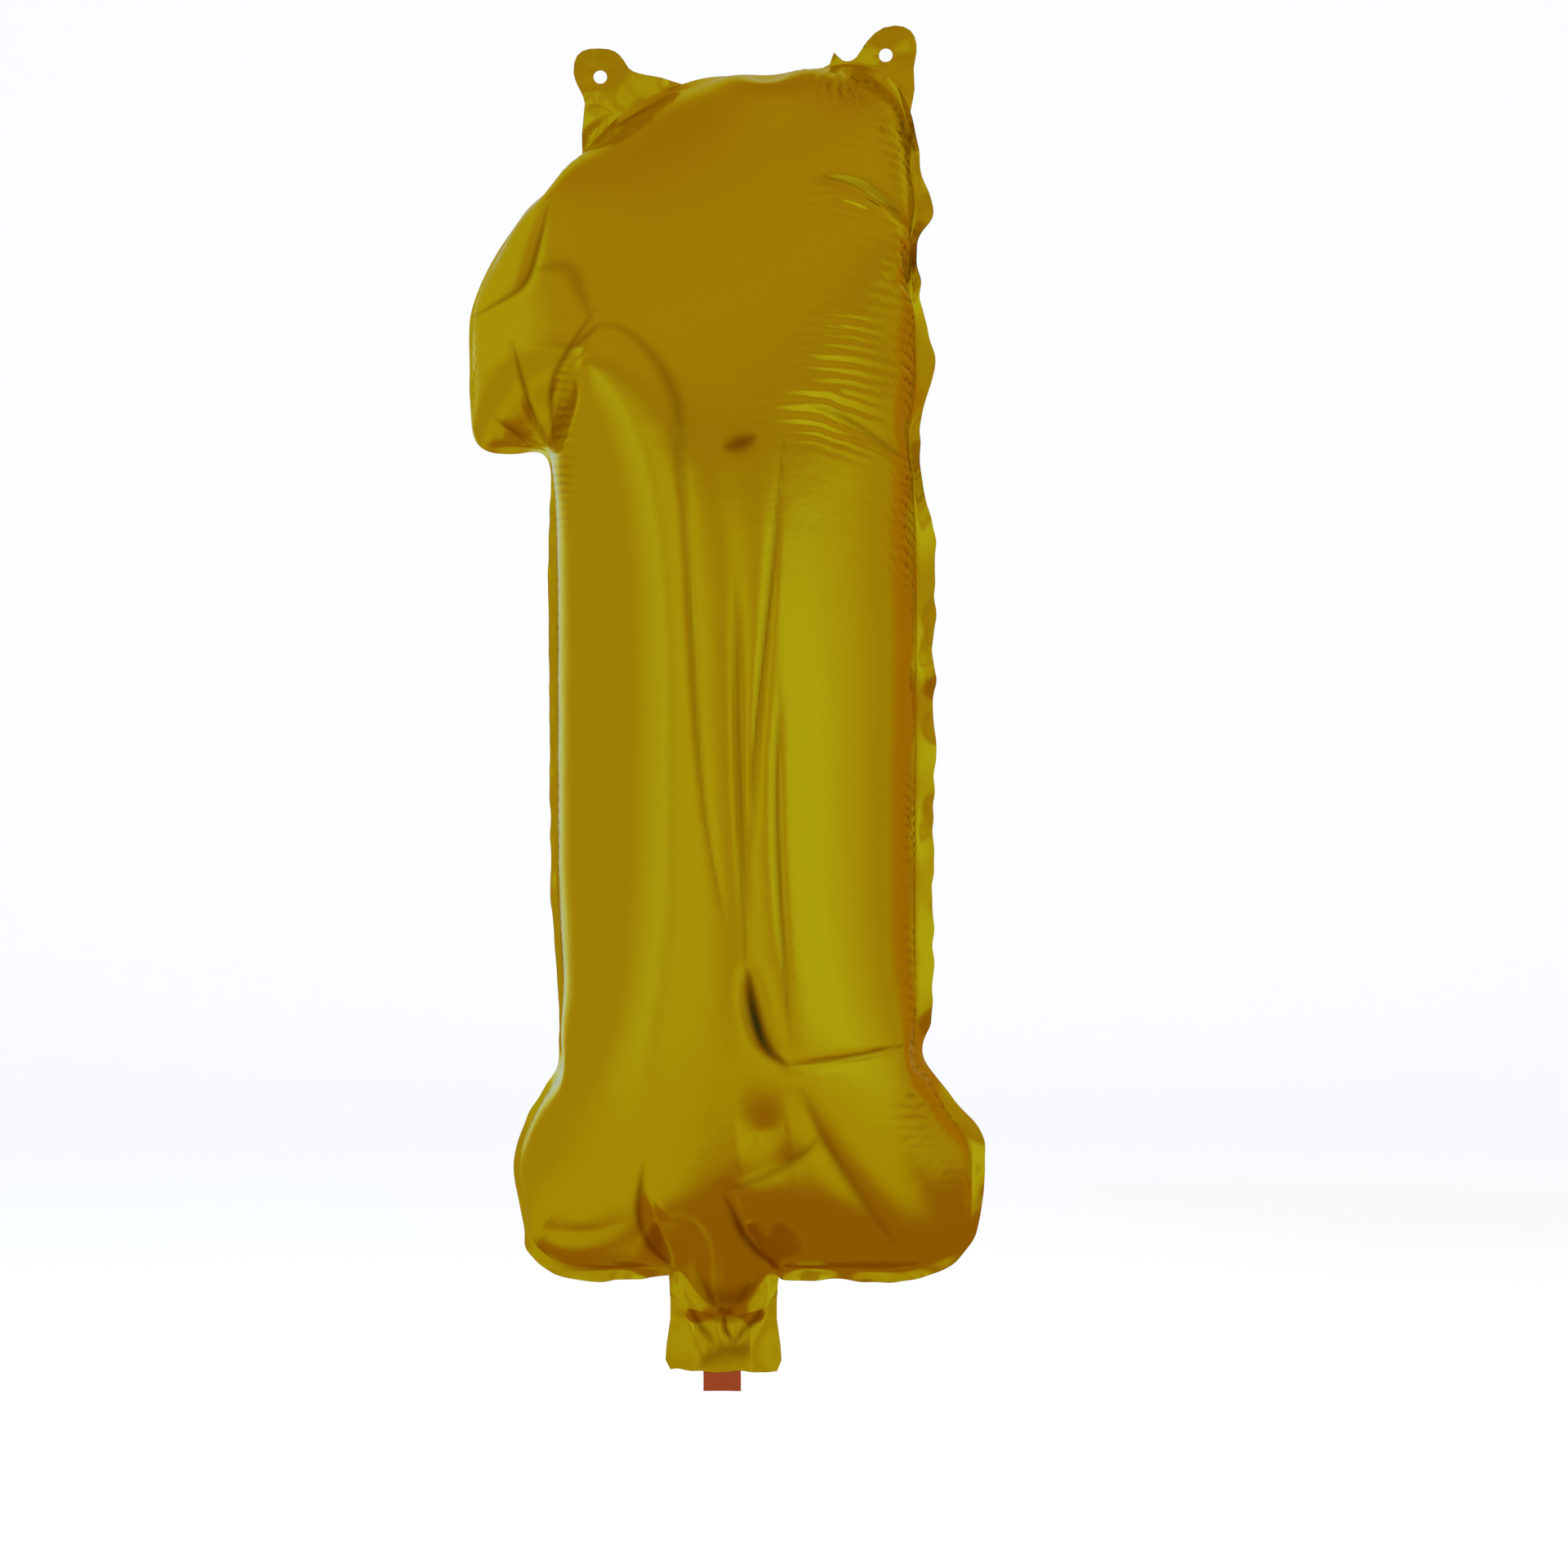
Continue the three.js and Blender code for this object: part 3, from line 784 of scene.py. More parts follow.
# Creases of the front film as (path, depth, width)
FRONT_CREASES = (
    # the sharp crease at the top of the foot, and the folds below it
    (((10, -293.5), (30, -291), (50, -287)), 0.9, 1.2),
    (((1, -262), (3, -276), (6, -286), (14, -292)), 1.0, 2.6),
    (((-2, -313), (13, -311)), 1.6, 7.0),
    # the long folds down the middle, and the arch at the top of the left one
    (((-43, -77), (-33, -80), (-25, -91), (-19.5, -106), (-17, -130), (-13, -210), (-5, -252)), 0.5, 1.4),
    (((-2, -148), (-1.5, -210), (1, -252)), 0.4, 1.2),
    (((12, -108), (8, -155), (4, -193), (2, -232)), 0.5, 1.3),
    (((11, -180), (9.5, -210), (11, -250), (14, -274)), 0.4, 1.2),
    (((14, -298), (27, -322), (44, -342)), 0.8, 3.5),
    (((-6, -327), (10, -322), (26, -316)), 0.5, 3.0),
    (((-30, -324), (-27, -336), (-19, -352)), 1.3, 2.0),
    (((-6, -326), (-1, -338), (8, -352)), 1.5, 1.8),
    (((-62, -340), (-46, -343), (-31, -337)), 0.9, 2.6),
    # curved wrinkles near the right edge
    (((19, -33), (30, -33.5), (41, -39), (51, -51)), 1.6, 1.5),
    (((24, -40), (34, -41), (46, -49)), 0.8, 1.2),
    (((18, -100), (32, -105), (52, -118)), 1.2, 1.3),
    (((42, -14), (47, -20), (50, -27)), 0.7, 1.3),
    (((44, -60), (48, -64), (51, -70)), 0.7, 1.4),
    # wrinkles round the armpit
    (((-56, -118), (-59, -108), (-66, -92), (-69, -74)), 0.8, 1.5),
    (((-56, -117), (-57, -104), (-53, -91), (-43, -78)), 0.7, 1.4),
    (((-55, -92), (-50, -86), (-43, -82)), 0.4, 1.3),
    (((-57, -116), (-66, -109), (-74, -103)), 0.5, 1.4),
    (((-80, -74), (-70, -68), (-63.5, -64), (-60, -52), (-57, -40)), 0.8, 1.5),
)
# Shade painted into the front film's colour, as (path, shade, half width): painted shade inside tight folds,
# and painted dark reflections along the arch, the lobe's edge and the bottom of the neck's bulge
FRONT_PAINTED_SHADE = (
    (((1.2, -264), (3, -278), (6.5, -288), (13.5, -293)), 1.0, 2.4),
    (((12, -293), (30, -290.5), (50, -286)), 0.5, 0.8),
    (((17, -299), (28, -323), (45, -345)), 0.3, 1.8),
    (((-5, -329), (8, -325), (20, -317), (24, -311)), 0.35, 1.4),
    (((-29, -320), (-32, -340), (-20, -353)), 0.5, 1.1),
    (((-6, -330), (1, -345), (12, -353)), 0.7, 1.2),
    (((-14, -354), (-9, -360.5), (-2, -361), (4, -355)), 0.35, 3.0),
    # down the middle, and the painted dark reflection along the arch
    (((-45, -76), (-34, -76), (-20, -92), (-18, -112), (-17, -140)), 0.3, 2.0),
    (((-18.5, -106), (-17, -135), (-13, -210), (-6, -250)), 0.4, 0.9),
    (((-2, -148), (-1.5, -210), (1, -268)), 0.4, 1.1),
    (((12, -108), (8, -155), (4, -193), (2, -232)), 0.4, 1.1),
    (((11, -180), (9.5, -210), (11, -250), (14, -288)), 0.4, 1.1),
    (((-6, -112), (1, -110), (4, -108)), 0.6, 2.6),
    # armpit and flag
    (((-57, -40), (-60, -52), (-63.5, -64), (-70, -68), (-80, -74)), 0.5, 0.9),
    (((-62, -60), (-51, -57.5), (-47.5, -66), (-44, -75)), 0.25, 2.4),
    (((-56.5, -112), (-63, -100), (-68, -80)), 0.5, 0.9),
    (((-55.5, -113), (-57, -94), (-52, -84), (-43, -71)), 0.5, 0.9),
    (((-58, -112), (-66, -108), (-74, -102)), 0.35, 0.9),
    (((-57, -112), (-61, -106), (-64, -99)), 0.35, 0.8),
    (((-52, -84), (-46, -79), (-41, -75)), 0.4, 0.8),
    # near the right edge
    (((20, -33), (31, -32.5), (42, -38), (52, -51)), 0.4, 0.9),
    (((19, -99), (32, -103), (50, -117)), 0.4, 0.9),
    (((44, -13), (49, -22), (52, -30)), 0.35, 0.8),
)
# Patches of parallel wrinkles as (middle, half size, tilt in degrees, spacing, depth, seed)
WRINKLE_GROUPS = (
    ((30, -39), (14, 8), -8, 3.4, 0.35, 1.5),
    ((29, -84), (11, 13), -10, 3.4, 0.42, 4.5),
    ((29, -104), (16, 9), -16, 3.6, 0.62, 8.5),
    ((-46, -78), (6, 6), 45, 3.2, 0.25, 3.5),
    ((51, -298), (8, 6), -35, 3.6, 0.3, 6.5),
)
# The gathers at the top of the stem's left side, whose depth is also painted as shade into the foil's
# colour: small dark dashes
STEM_GATHERS_AND_PAINTED_SHADE = ((-53, -109), (2.6, 26), 0, 2.7, 0.4, 9.5)
# Creases of the back film as (path, depth, width)
BACK_CREASES = (
    (((-56, -118), (-60, -100), (-63, -82)), 1.0, 1.6),
    (((-56, -117), (-52, -98), (-40, -84)), 0.9, 1.5),
    (((12, -290), (30, -293), (48, -291)), 1.3, 1.6),
    (((20, -50), (34, -52), (47, -58)), 0.7, 1.3),
    (((22, -98), (36, -103), (50, -114)), 0.9, 1.4),
)
# Folds of the crumpled neck as (path, height, width), and the shade painted into the neck's colour inside
# them as (path, shade, half width)
NECK_CREASES = (
    (((-17, -359), (-13, -368), (-9, -377)), 0.8, 1.6),
    (((6, -359), (3, -368), (-2, -377)), 0.8, 1.6),
    (((-6, -362), (-5, -370), (-3, -376)), 0.5, 1.2),
)
NECK_PAINTED_SHADE = (
    (((-16, -361), (-13.5, -368), (-9, -373), (-8, -377)), 0.5, 1.3),
    (((6, -359), (4.5, -367), (0, -370), (-3, -375)), 0.5, 1.3),
    (((-5.5, -364.5), (-5.5, -370), (-2, -374)), 0.7, 0.8),
    (((-15, -357), (-11, -367), (1, -367), (6, -357)), 0.3, 1.0),
    (((-14, -382), (-8, -376), (4, -376), (9, -381)), 0.4, 3.0),
)
# Creases of both tabs as (path, depth, width)
TAB_CREASES = (
    (((-47, -12), (-43, -10), (-38, -13)), 0.8, 0.9),
    (((-46, -17), (-41, -14), (-36, -10)), -0.5, 1.0),
    (((36, -1), (42, -3.5), (51, -0.5)), 0.7, 0.9),
    (((42, -2), (46, -5), (50, -9)), -0.5, 1.0),
)
# The tabs' outlines, clockwise from the margin, and the middles of their holes
LEFT_TAB = (
    (-48.1, -24.5),
    ((-47.2, -20),),
    ((-46.3, -11),),
    ((-46.6, -8), (-49.3, -5.5), (-49.6, -2)),
    ((-49.8, 3.5), (-47.5, 5.4), (-42, 5.2)),
    ((-37, 5.2), (-36, 3.5), (-33.5, -0.6)),
    ((-32, -2.4), (-27, -2.6), (-24, -3.2)),
    (-18, -3.4),
)
RIGHT_TAB = (
    (22, 0.2),
    ((25.4, 1.2),),
    ((26.6, 4.4),),
    ((28, 3.2),),
    ((29.6, 1.4), (31.8, 1.4), (33.4, 3.2)),
    ((36, 6.5), (38.2, 11.9), (44.5, 11.9)),
    ((49.5, 11.8), (51.2, 8.5), (50.8, 4)),
    ((50, -0.5),),
    ((50.2, -7),),
    (50, -13),
)
LEFT_HOLE = (-41.8, -3.2)
RIGHT_HOLE = (41.8, 3.2)
HOLE_RADIUS = 2.0
TAB_MESH = 1.0


# ---- Films ----------------------------------------------------------------------------------------------


def thicken(piece, thickness=FILM):
    """Gives a sheet its thickness, on the side that its faces look to."""
    modifier = piece.modifiers.new("thickness", "SOLIDIFY")
    modifier.thickness = thickness * MM
    modifier.offset = 1
    modifier.use_rim = False


def coordinates(mesh, kind="co"):
    """A mesh's points, or its normals if kind is normal, one in each row."""
    values = np.empty(len(mesh.vertices) * 3, np.float32)
    mesh.vertices.foreach_get(kind, values)
    return values.reshape(-1, 3).astype(float)


def write_numbers(mesh, name, values):
    """Stores a number for each vertex."""
    layer = mesh.attributes.new(name, "FLOAT", "POINT")
    layer.data.foreach_set("value", np.asarray(values, np.float32))


def read_numbers(mesh, name):
    """The number stored for each vertex."""
    values = np.empty(len(mesh.vertices), np.float32)
    mesh.attributes[name].data.foreach_get("value", values)
    return values.astype(float)


def wander(values, seed):
    """Smooth noise from -1 to 1 along a list of numbers, one feature for each unit."""
    return np.array([noise.noise((v, seed, 0.5)) for v in values.ravel()]).reshape(values.shape)


def crumple(x, z, seed, octaves=3):
    """Smooth noise over a sheet, one feature for each unit."""
    spots = zip(x.ravel(), z.ravel())
    values = [noise.fractal((u, v, seed), 0.8, 2.1, octaves) for u, v in spots]
    return np.array(values).reshape(x.shape)


def seam_grooves(inset, way):
    """The fine wrinkles across the seam, where the film's edge is gathered: 0 on a ridge, 1 in a groove."""
    phase = way / TICK_SPACING + 0.6 * wander(way / 13, 3.1) + inset * 0.05
    return 0.5 + 0.5 * np.cos(2 * np.pi * phase)


def tick_depth(x, z, inset, way):
    """How far the film sinks in those fine wrinkles."""
    strength = np.clip(0.7 + 1.1 * wander(way / 21, 7.7), 0.1, 1.4)
    reach = (8 + 14 * between(x, 0, 30)) * (1 + 0.35 * wander(way / 7, 1.9))
    fade = np.clip(inset / 2.5, 0, 1) * np.exp(-((np.clip(inset, 0, None) / reach) ** 2))
    above_foot = 0.2 + 0.8 * between(z, -325, -295)
    deepest = TICK_DEPTH * (0.6 + 0.8 * between(x, -20, 20))
    return deepest * seam_grooves(inset, way) ** 2.5 * strength * fade * above_foot


def painted_tick_shade(x, z, inset, way):
    """The shade painted into the foil's colour in those fine wrinkles, in a band along the seam that is
    further in on the right.
    """
    strength = np.clip(0.7 + 1.3 * wander(way / 21, 7.7), 0, 1.2)
    right = between(x, 0, 30)
    band = np.exp(-(((inset - 5.5 - 8.5 * right) / (2.5 + 1.5 * right)) ** 2))
    beside_stem = between(z, -310, -290) * (1 - (1 - right) * between(z, -118, -108))
    return 0.4 * seam_grooves(inset, way) ** 4 * strength * band * beside_stem


def wrinkle_group(x, z, middle, size, tilt, spacing, depth, seed):
    """A patch of parallel wrinkles: how far the film sinks."""
    turn = math.radians(tilt)
    u = (x - middle[0]) * math.cos(turn) + (z - middle[1]) * math.sin(turn)
    v = (z - middle[1]) * math.cos(turn) - (x - middle[0]) * math.sin(turn)
    v = v + (u / 22) ** 2 * 4
    phase = v / spacing + 0.9 * wander(v / 9, seed) + 0.25 * wander(u / 6, seed + 2)
    near = np.exp(-((u / size[0]) ** 2) - (v / size[1]) ** 4)
    uneven = 0.65 + 0.6 * wander(v / 4, seed + 5)
    return depth * near * uneven * (0.5 + 0.5 * np.cos(2 * np.pi * phase)) ** 1.5


def drawn_place(where):
    """Where points of the film are on a front view of the balloon, on which its creases are drawn."""
    distance = VIEW_HEIGHT * LENS / SENSOR / MM
    larger = distance / (distance + where[:, 1])
    x = AIM.x / MM + (where[:, 0] - AIM.x / MM) * larger
    return x, AIM.z / MM + (where[:, 2] - AIM.z / MM) * larger


def rounded(path, times=3):
    """The path with its corners cut off, so that it bends smoothly."""
    path = np.array(path, float)
    for _ in range(times):
        cut = np.stack([0.75 * path[:-1] + 0.25 * path[1:], 0.25 * path[:-1] + 0.75 * path[1:]], axis=1)
        path = np.vstack([path[:1], cut.reshape(-1, 2), path[-1:]])
    return path


def near_path(x, z, path):
    """How far each point is from a path, and the share of the path's length where it is nearest."""
    gap = np.full(x.shape, 1e9)
    share = np.zeros(x.shape)
    path = rounded(path)
    steps = np.linalg.norm(np.diff(path, axis=0), axis=1)
    before = np.r_[0, np.cumsum(steps)]
    for k, step in enumerate(steps):
        direction = (path[k + 1] - path[k]) / step
        t = np.clip((x - path[k, 0]) * direction[0] + (z - path[k, 1]) * direction[1], 0, step)
        distance = np.hypot(x - path[k, 0] - t * direction[0], z - path[k, 1] - t * direction[1])
        closer = distance < gap
        gap = np.where(closer, distance, gap)
        share = np.where(closer, (before[k] + t) / before[-1], share)
    return gap, np.clip(share, 0, 1)


def crease_depth(x, z, creases):
    """How far creases, given as (path, depth, width), sink the film. Each tapers to its path's ends."""
    sink = np.zeros(x.shape)
    for path, depth, width in creases:
        gap, share = near_path(x, z, path)
        across = gap / width
        profile = 0.6 * np.exp(-0.7 * across**2) + 0.4 * np.exp(-across / 1.6)
        sink += depth * profile * np.sin(np.pi * share) ** 0.9
    return sink


def painted_fold_shade(x, z, folds):
    """How much shade is painted into the foil along the given paths, from 0 to 1: the insides of tight
    folds, and some dark reflections.
    """
    shade = np.zeros(x.shape)
    for path, darkest, width in folds:
        gap, share = near_path(x, z, path)
        open_share = np.sin(np.pi * share)
        narrowed = width * (0.35 + 0.65 * open_share)
        shade = np.maximum(shade, darkest * np.exp(-((gap / narrowed) ** 2)) * open_share**0.4)
    return shade


def rough_film(name, envelope, side, material):
    """One film of the relaxed envelope with its half of the sealed margin.

    Each point stores inset, how far inside the seam it is (less than 0 on the margin), way, the length of
    seam up to it, and end, which is 1 on the neck's last row and 0 elsewhere.
    """
    used = envelope.used
    number = -np.ones(used.shape, int)
    number[used] = np.arange(used.sum())
    rings = [number[envelope.seam]]
    count = used.sum()
    for _ in range(MARGIN_RINGS):
        rings.append(count + np.arange(len(rings[0])))
        count += len(rings[0])
    outer = [envelope.margin[:, ring].T for ring in range(1, MARGIN_RINGS + 1)]
    points = np.vstack([envelope.film[:, side][:, used].T] + outer)
    corner = [number[:-1, :-1], number[1:, :-1], number[1:, 1:], number[:-1, 1:]]
    faces = [np.stack([c[envelope.cells] for c in corner], axis=1)]
    for near, far in zip(rings[:-1], rings[1:]):
        faces.append(np.stack([near[:-1], near[1:], far[1:], far[:-1]], axis=1))
    faces = np.vstack(faces)
    if side == 1:
        faces = faces[:, ::-1]
    rough = mesh_object(name + "_rough", points * MM, faces, material)
    out = [np.full(len(rings[0]), -ring * MARGIN / MARGIN_RINGS) for ring in range(1, MARGIN_RINGS + 1)]
    ends = np.zeros(len(rings[0]))
    ends[[0, -1]] = 1
    write_numbers(rough.data, "inset", np.concatenate([envelope.inset[used], *out]))
    write_numbers(rough.data, "end", np.concatenate([envelope.end[used]] + [ends] * MARGIN_RINGS))
    ways = [envelope.way[used]] + [envelope.seam_way] * MARGIN_RINGS
    write_numbers(rough.data, "way", np.concatenate(ways))
    return rough


def smoother_mesh(rough):
    """The mesh with every face divided in four and rounded. Its rough object is removed."""
    finer = rough.modifiers.new("finer", "SUBSURF")
    finer.levels = 1
    shaped = rough.evaluated_get(bpy.context.evaluated_depsgraph_get())
    mesh = bpy.data.meshes.new_from_object(shaped)
    bpy.data.objects.remove(rough)
    return mesh


def press_creases(mesh, creases, folds, groups):
    """Presses the wrinkles and creases into the film, and stores the shade painted into their insides."""
    where = coordinates(mesh) / MM
    normal = coordinates(mesh, "normal")
    inset = read_numbers(mesh, "inset")
    way = read_numbers(mesh, "way")
    x, z = drawn_place(where)
    off_seam = np.clip(inset / 2, 0, 1)
    sink = tick_depth(x, z, inset, way) + crease_depth(x, z, creases) * off_seam
    # painted shade: along tight folds and in the fine gathers by the seam
    shade = np.maximum(painted_fold_shade(x, z, folds), painted_tick_shade(x, z, inset, way))
    for group in groups:
        gathers = wrinkle_group(x, z, *group) * off_seam
        sink += gathers
        # the stem's gathers are also painted as shade into the foil's colour
        if group is STEM_GATHERS_AND_PAINTED_SHADE:
            shade = np.maximum(shade, gathers)
    # The margin has waves of its own, which grow towards its outer edge
    on_margin = inset < 0
    ripple = np.zeros(len(inset))
    ripple[on_margin] = crumple(way[on_margin] / 14, inset[on_margin] / 12, 4.2, 2) * -inset[on_margin]
    where -= normal * sink[:, None]
    where[:, 1] += 0.25 * ripple
    # the painted shade, which darkens the foil's base colour
    write_numbers(mesh, "painted_shade", shade)
    mesh.vertices.foreach_set("co", (where * MM).astype(np.float32).ravel())
    mesh.update()


def film_piece(name, envelope, side, material, creases, folds, groups):
    """One film of the envelope, with its half of the sealed margin and its creases: side 0 is the front."""
    mesh = smoother_mesh(rough_film(name, envelope, side, material))
    press_creases(mesh, creases, folds, groups)
    mesh.name = name
    piece = bpy.data.objects.new(name, mesh)
    bpy.context.collection.objects.link(piece)
    thicken(piece)
    return piece


# ---- Tabs -----------------------------------------------------------------------------------------------


def inside(points, outline):
    """Which points lie inside a closed outline."""
    x, z = points[:, 0], points[:, 1]
    found = np.zeros(len(points), bool)
    for (x0, z0), (x1, z1) in zip(outline, np.roll(outline, -1, axis=0)):
        crosses = (z0 > z) != (z1 > z)
        found ^= crosses & (x < (x1 - x0) * (z - z0) / (z1 - z0 + 1e-12) + x0)
    return found


def filled(outline, hole):
    """Triangles over an outline with a hole, with points every TAB_MESH mm, as (points, triangles)."""
    low, high = outline.min(axis=0), outline.max(axis=0)
    x, z = np.meshgrid(np.arange(low[0], high[0], TAB_MESH), np.arange(low[1], high[1], TAB_MESH))
    middle = np.c_[x.ravel(), z.ravel()]
    middle = middle[inside(middle, outline)]
    for rim in (outline, hole):
        gap = np.linalg.norm(middle[:, None] - rim, axis=2).min(axis=1)
        middle = middle[gap > 0.6 * TAB_MESH]
    middle = middle[~inside(middle, hole)]
    points = np.vstack([outline, hole, middle])
    edges = []
    for first, count in ((0, len(outline)), (len(outline), len(hole))):
        edges += [(first + k, first + (k + 1) % count) for k in range(count)]
    found = geometry.delaunay_2d_cdt([Vector(p) for p in points], edges, [], 0, 1e-6)
    points = np.array([tuple(p) for p in found[0]])
    triangles = np.array([f for f in found[2] if len(f) == 3])
    centre = points[triangles].mean(axis=1)
    return points, triangles[inside(centre, outline) & ~inside(centre, hole)]


def margin_edge(film):
    """The finished margin's outer edge as a line of points, clockwise."""
    points = coordinates(film.data) / MM
    way = read_numbers(film.data, "way")
    outermost = read_numbers(film.data, "inset") < 0.01 - MARGIN
    return points[outermost][np.argsort(way[outermost])]


def tab_shape(film, edge, hole_centre):
    """A tab's points and triangles. It carries on from the sealed margin, and edge runs clockwise."""
    ring = margin_edge(film)
    start = np.hypot(ring[:, 0] - edge[0][0], ring[:, 2] - edge[0][1]).argmin()
    end = np.hypot(ring[:, 0] - edge[-1][0], ring[:, 2] - edge[-1][1]).argmin()
    root = ring[start : end + 1]
    path = curve(tuple(root[0, [0, 2]]), *edge[1:-1], (tuple(root[-1, [0, 2]]),), steps=5)
    outline = np.vstack([path, root[-2:0:-1, [0, 2]]])
    turn = np.linspace(0, 2 * np.pi, 33)[:-1]
    hole = np.c_[np.cos(turn), np.sin(turn)] * HOLE_RADIUS + hole_centre
    points, triangles = filled(outline, hole)
    gap = np.linalg.norm(points[:, None] - root[:, [0, 2]], axis=2)
    from_root = gap.min(axis=1)
    y = root[gap.argmin(axis=1), 1] * np.exp(-((from_root / 5) ** 2))
    away = 1 - np.exp(-from_root / 5)
    y += away * crumple(points[:, 0] / 15, points[:, 1] / 15, 2.3, 2)
    y += away * crease_depth(points[:, 0], points[:, 1], TAB_CREASES)
    return np.c_[points[:, 0], y, points[:, 1]], triangles


def tab_pieces(name, film, edge, hole_centre, material):
    """Both plies of a tab."""
    points, triangles = tab_shape(film, edge, hole_centre)
    first = points[triangles[0]][:, [0, 2]]
    counter_clockwise = np.cross(first[1] - first[0], first[2] - first[0]) > 0
    for side in ("front", "back"):
        faces = triangles if counter_clockwise == (side == "front") else triangles[:, ::-1]
        piece = mesh_object(name + "_" + side, points * MM, faces, material)
        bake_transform(piece)
        thicken(piece)
        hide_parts(f"{name}_{side}_ply")


# ---- Neck and valve -------------------------------------------------------------------------------------

VALVE_COLUMNS = 20
LIP_ROWS = 12
INNER_VALVE_COLUMNS = 12


def neck_middle(x, z):
    """How far the crumpled neck's middle stands out of its flat place."""
    down = between(NECK_FOLD + 1.5 - z, 0, 6)
    bottom = np.clip((z - NECK_BOTTOM - 0.5) / 5, 0, 1)
    in_valve = np.clip(1.6 - np.abs(x - VALVE_CENTRE) / 6, 0, 1)
    calm = 1 - in_valve * (1 - bottom) * 0.95
    return (0.9 * crumple(x / 13, z / 13, 8.3, 1) + crease_depth(x, z, NECK_CREASES)) * down * calm


def end_row(piece, share):
    """The row of the film's points whose end is share, from left to right: 1 is the neck's last row."""
    points = coordinates(piece.data) / MM
    row = points[np.abs(read_numbers(piece.data, "end") - share) < 0.02]
    return row[np.argsort(row[:, 0])]


def leaving_film(film, row, x0, z0, below, swell):
    """How far a ply stands out where it leaves the film above, whose last row is row, and flattens out."""
    above = end_row(film, 0.5)
    y0 = np.interp(x0, row[:, 0], row[:, 1])
    rise = np.interp(x0, above[:, 0], above[:, 2]) - z0
    slope = (np.interp(x0, above[:, 0], above[:, 1]) - y0) / np.maximum(rise, 0.2)
    ease = slope * below * np.exp(-below / (0.7 + 1.6 * swell))
    return y0 * (1 - between(below / (2.5 + 6 * swell), 0, 1)) - ease


def neck_shape(films):
    """The neck's grid: x and z, how far its middle stands out, and half the gap between its plies."""
    front, back = (end_row(film, 1) for film in films)
    share = np.linspace(0, 1, 81)
    x0 = np.interp(share, np.linspace(0, 1, len(front)), front[:, 0])
    z0 = np.interp(x0, front[:, 0], front[:, 2])
    down = np.linspace(0, 1, 40)[:, None]
    flare = np.interp(down, (0, 0.3, 0.65, 0.85, 1), (1.0, 1.0, 1.07, 1.09, 1.0))
    x = NECK_CENTRE + (x0 - NECK_CENTRE) * flare
    bottom = NECK_BOTTOM + 0.5 + 0.9 * crumple(x / 9, 0 * x, 6.6, 2)
    z = z0 + (bottom - z0) * down
    swell = np.clip(1 - ((x - NECK_CENTRE) / 13) ** 2, 0, 1)
    sides = [leaving_film(film, row, x0, z0, z0 - z, swell) for film, row in zip(films, (front, back))]
    middle = (sides[0] + sides[1]) / 2 + neck_middle(x, z)
    half = (VALVE_RIGHT - VALVE_LEFT) / 2
    room = 0.02 + 0.26 * between(half + 3.5 - np.abs(x - VALVE_CENTRE), 0, 3)
    return x, z, middle, np.maximum((sides[1] - sides[0]) / 2, room)


def valve_shape(x, z, middle):
    """The valve's grid where it runs down the middle of the neck, and out of it to its lips."""
    across = np.linspace(0, 1, VALVE_COLUMNS) * np.ones((len(z), 1))
    valve_z = np.linspace(z[0].mean(), LIP_TOP, len(z))[:, None] + 0 * across
    narrow = between(NECK_BOTTOM + 3 - valve_z, 0, 3)
    left = VALVE_LEFT + (MOUTH_LEFT - VALVE_LEFT) * narrow
    right = VALVE_RIGHT + (MOUTH_RIGHT - VALVE_RIGHT) * narrow
    valve_x = left + (right - left) * across
    valve_y = np.empty_like(valve_x)
    for row, place in enumerate(np.interp(-valve_z[:, 0], -z.mean(axis=1), np.arange(len(z)))):
        above = min(int(place), len(z) - 2)
        line = middle[above] + (middle[above + 1] - middle[above]) * (place - above)
        valve_y[row] = np.interp(valve_x[row], x[above], line)
    return np.stack([valve_x, valve_y, valve_z])


def lip_shape(valve_end):
    """The lips' grid, which carries on from the valve's last row."""
    x = np.linspace(MOUTH_LEFT, MOUTH_RIGHT, VALVE_COLUMNS) * np.ones((LIP_ROWS, 1))
    z = np.linspace(LIP_TOP, MOUTH_BOTTOM + 0.1, LIP_ROWS)[:, None] + 0 * x
    y = valve_end + 0.08 * (LIP_TOP - z) * np.sin((x - MOUTH_LEFT) / 3.2)
    return np.stack([x, y, z])


def shifted(shape, y):
    """A grid of points moved along Y."""
    return np.stack([shape[0], shape[1] + y, shape[2]])


def neck_pieces(films, gold, orange):
    """The neck's plies, the valve's films between them and the lips of its mouth."""
    x, z, middle, gap = neck_shape(films)
    valve = valve_shape(x, z, middle)
    lips = lip_shape(valve[1, -1])
    for side, name in ((-1, "front"), (1, "back")):
        spacing = side * VALVE_HALF_SPACING
        ply = grid_mesh(f"neck_{name}", np.stack([x, middle + side * gap, z]), gold, flipped=side < 0)
        # painted shade, on the front ply only
        write_numbers(ply.data, "painted_shade", painted_fold_shade(x, z, NECK_PAINTED_SHADE if side < 0 else ()).ravel())
        tube = grid_mesh(f"valve_neck_{name}", shifted(valve, spacing), orange, flipped=side < 0)
        lip = grid_mesh(f"mouth_{name}", shifted(lips, spacing), orange, flipped=side < 0)
        bend_neck(ply)
        bend_neck(tube)
        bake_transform(lip)
        for piece, node, finish, thickness in (
            (ply, f"neck_{name}_ply", "gold_foil", FILM),
            (tube, f"neck_valve_{name}_film", "valve_film", VALVE_FILM),
            (lip, f"mouth_{name}_lip", "valve_film", VALVE_FILM),
        ):
            thicken(piece, thickness)
            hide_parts(node)


def bend_neck(piece):
    """Bakes the piece's placement into its mesh."""
    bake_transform(piece)


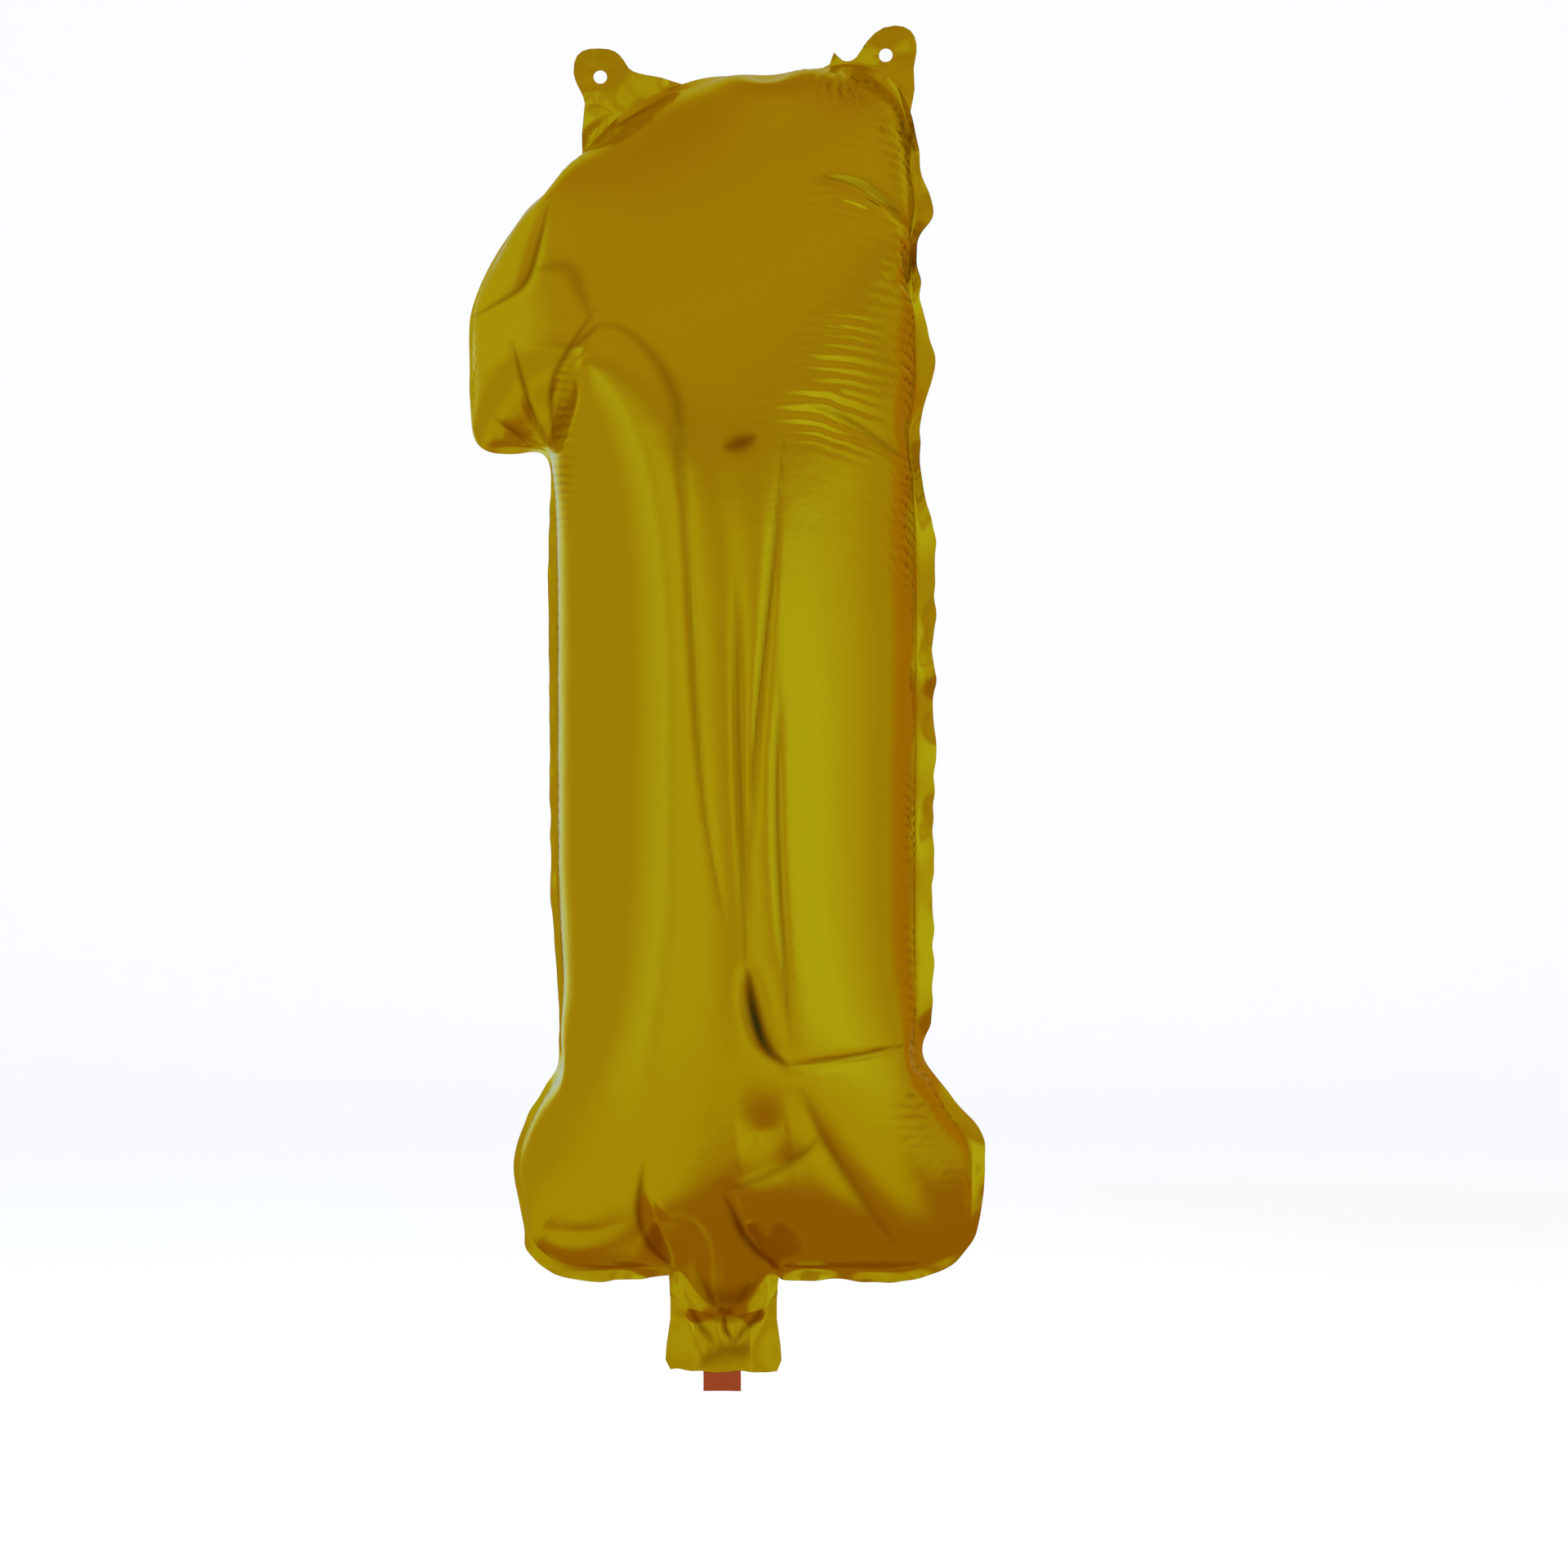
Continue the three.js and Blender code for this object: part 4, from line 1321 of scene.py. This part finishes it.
def inner_valve(envelope, orange):
    """The flat valve tube hangs up inside the balloon, midway between the films."""
    middle = envelope.film.mean(axis=1).astype(float)
    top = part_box("valve_front_film")[1].z / MM
    across = np.linspace(VALVE_LEFT, VALVE_RIGHT, INNER_VALVE_COLUMNS)
    rows = []
    for row in range(len(envelope.used) - 1, 0, -1):
        x, y, z = middle[:, row, envelope.used[row]]
        order = np.argsort(x)
        rows.append([across, np.interp(across, x[order], y[order]), np.interp(across, x[order], z[order])])
        if rows[-1][2].mean() > top:
            break
    points = np.array(rows).transpose(1, 0, 2)
    for side, name in ((-1, "front"), (1, "back")):
        spots = shifted(points, side * VALVE_HALF_SPACING)
        piece = grid_mesh(f"valve_inside_{name}", spots, orange, flipped=side > 0)
        thicken(piece, VALVE_FILM)
        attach(piece, "envelope")
        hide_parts(f"valve_{name}_film")


# ---- Materials ------------------------------------------------------------------------------------------

GOLD = (0.78, 0.60, 0.008)
# Colours of the shade painted into the foil's folds: brown, then nearly black in the tightest
PAINTED_SHADE_BROWN = (0.40, 0.19, 0.004)
PAINTED_SHADE_DARKEST = (0.05, 0.05, 0.01)
VALVE_ORANGE = (0.28, 0.04, 0.004)


def noise_bump(material, scale, detail, strength, distance, under=None):
    """A bump of fine noise, on top of the bump under it if there is one."""
    nodes = material.node_tree.nodes
    links = material.node_tree.links
    texture = nodes.new("ShaderNodeTexCoord")
    grain = nodes.new("ShaderNodeTexNoise")
    grain.inputs["Scale"].default_value = scale
    grain.inputs["Detail"].default_value = detail
    bump = nodes.new("ShaderNodeBump")
    bump.inputs["Strength"].default_value = strength
    bump.inputs["Distance"].default_value = distance
    links.new(texture.outputs["Object"], grain.inputs["Vector"])
    links.new(grain.outputs["Fac"], bump.inputs["Height"])
    if under:
        links.new(under.outputs["Normal"], bump.inputs["Normal"])
    return bump


def paint_shade_into_foil(material, shader):
    """Paints shade, and some dark reflections, into the foil's base colour by the number stored for it on
    each point: gold, then brown, then nearly black.
    """
    nodes = material.node_tree.nodes
    links = material.node_tree.links
    painted_shade = nodes.new("ShaderNodeAttribute")
    painted_shade.attribute_name = "painted_shade"
    tone = nodes.new("ShaderNodeValToRGB")
    steps = tone.color_ramp.elements
    steps[0].color = (*GOLD, 1)
    steps[1].color = (*PAINTED_SHADE_DARKEST, 1)
    steps.new(0.6).color = (*PAINTED_SHADE_BROWN, 1)
    links.new(painted_shade.outputs["Fac"], tone.inputs["Fac"])
    links.new(tone.outputs["Color"], shader.inputs["Base Color"])


def foil_material():
    """Gold metallised film: a mirror with a little orange peel."""
    material, shader = principled("gold_foil", GOLD, 0.19)
    shader.inputs["Metallic"].default_value = 1
    shader.inputs["Specular Tint"].default_value = (0.95, 0.9, 0.5, 1)
    # painted shade in the folds, mixed into the gold base colour
    paint_shade_into_foil(material, shader)
    peel = noise_bump(material, scale=90, detail=3, strength=0.25, distance=0.0006)
    fine = noise_bump(material, scale=1400, detail=2, strength=0.15, distance=0.00004, under=peel)
    material.node_tree.links.new(fine.outputs["Normal"], shader.inputs["Normal"])
    return material


def valve_material():
    """Orange-red translucent film."""
    material, shader = principled("valve_film", VALVE_ORANGE, 0.4)
    shader.inputs["Specular IOR Level"].default_value = 0.2
    shader.inputs["Transmission Weight"].default_value = 0.1
    shader.inputs["IOR"].default_value = 1.45
    bump = noise_bump(material, scale=700, detail=2, strength=0.2, distance=0.0002)
    material.node_tree.links.new(bump.outputs["Normal"], shader.inputs["Normal"])
    return material


make_camera()
make_floor()
make_studio()
gold = foil_material()
orange = valve_material()
envelope = inflate()
films = []
for name, side, creases, folds, groups in (
    ("front", 0, FRONT_CREASES, FRONT_PAINTED_SHADE, (*WRINKLE_GROUPS, STEM_GATHERS_AND_PAINTED_SHADE)),
    ("back", 1, BACK_CREASES, (), ()),
):
    piece = film_piece(f"{name}_film", envelope, side, gold, creases, folds, groups)
    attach(piece, "envelope")
    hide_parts(f"{name}_panel")
    films.append(piece)
tab_pieces("left_tab", films[0], LEFT_TAB, LEFT_HOLE, gold)
tab_pieces("right_tab", films[0], RIGHT_TAB, RIGHT_HOLE, gold)
neck_pieces(films, gold, orange)
inner_valve(envelope, orange)
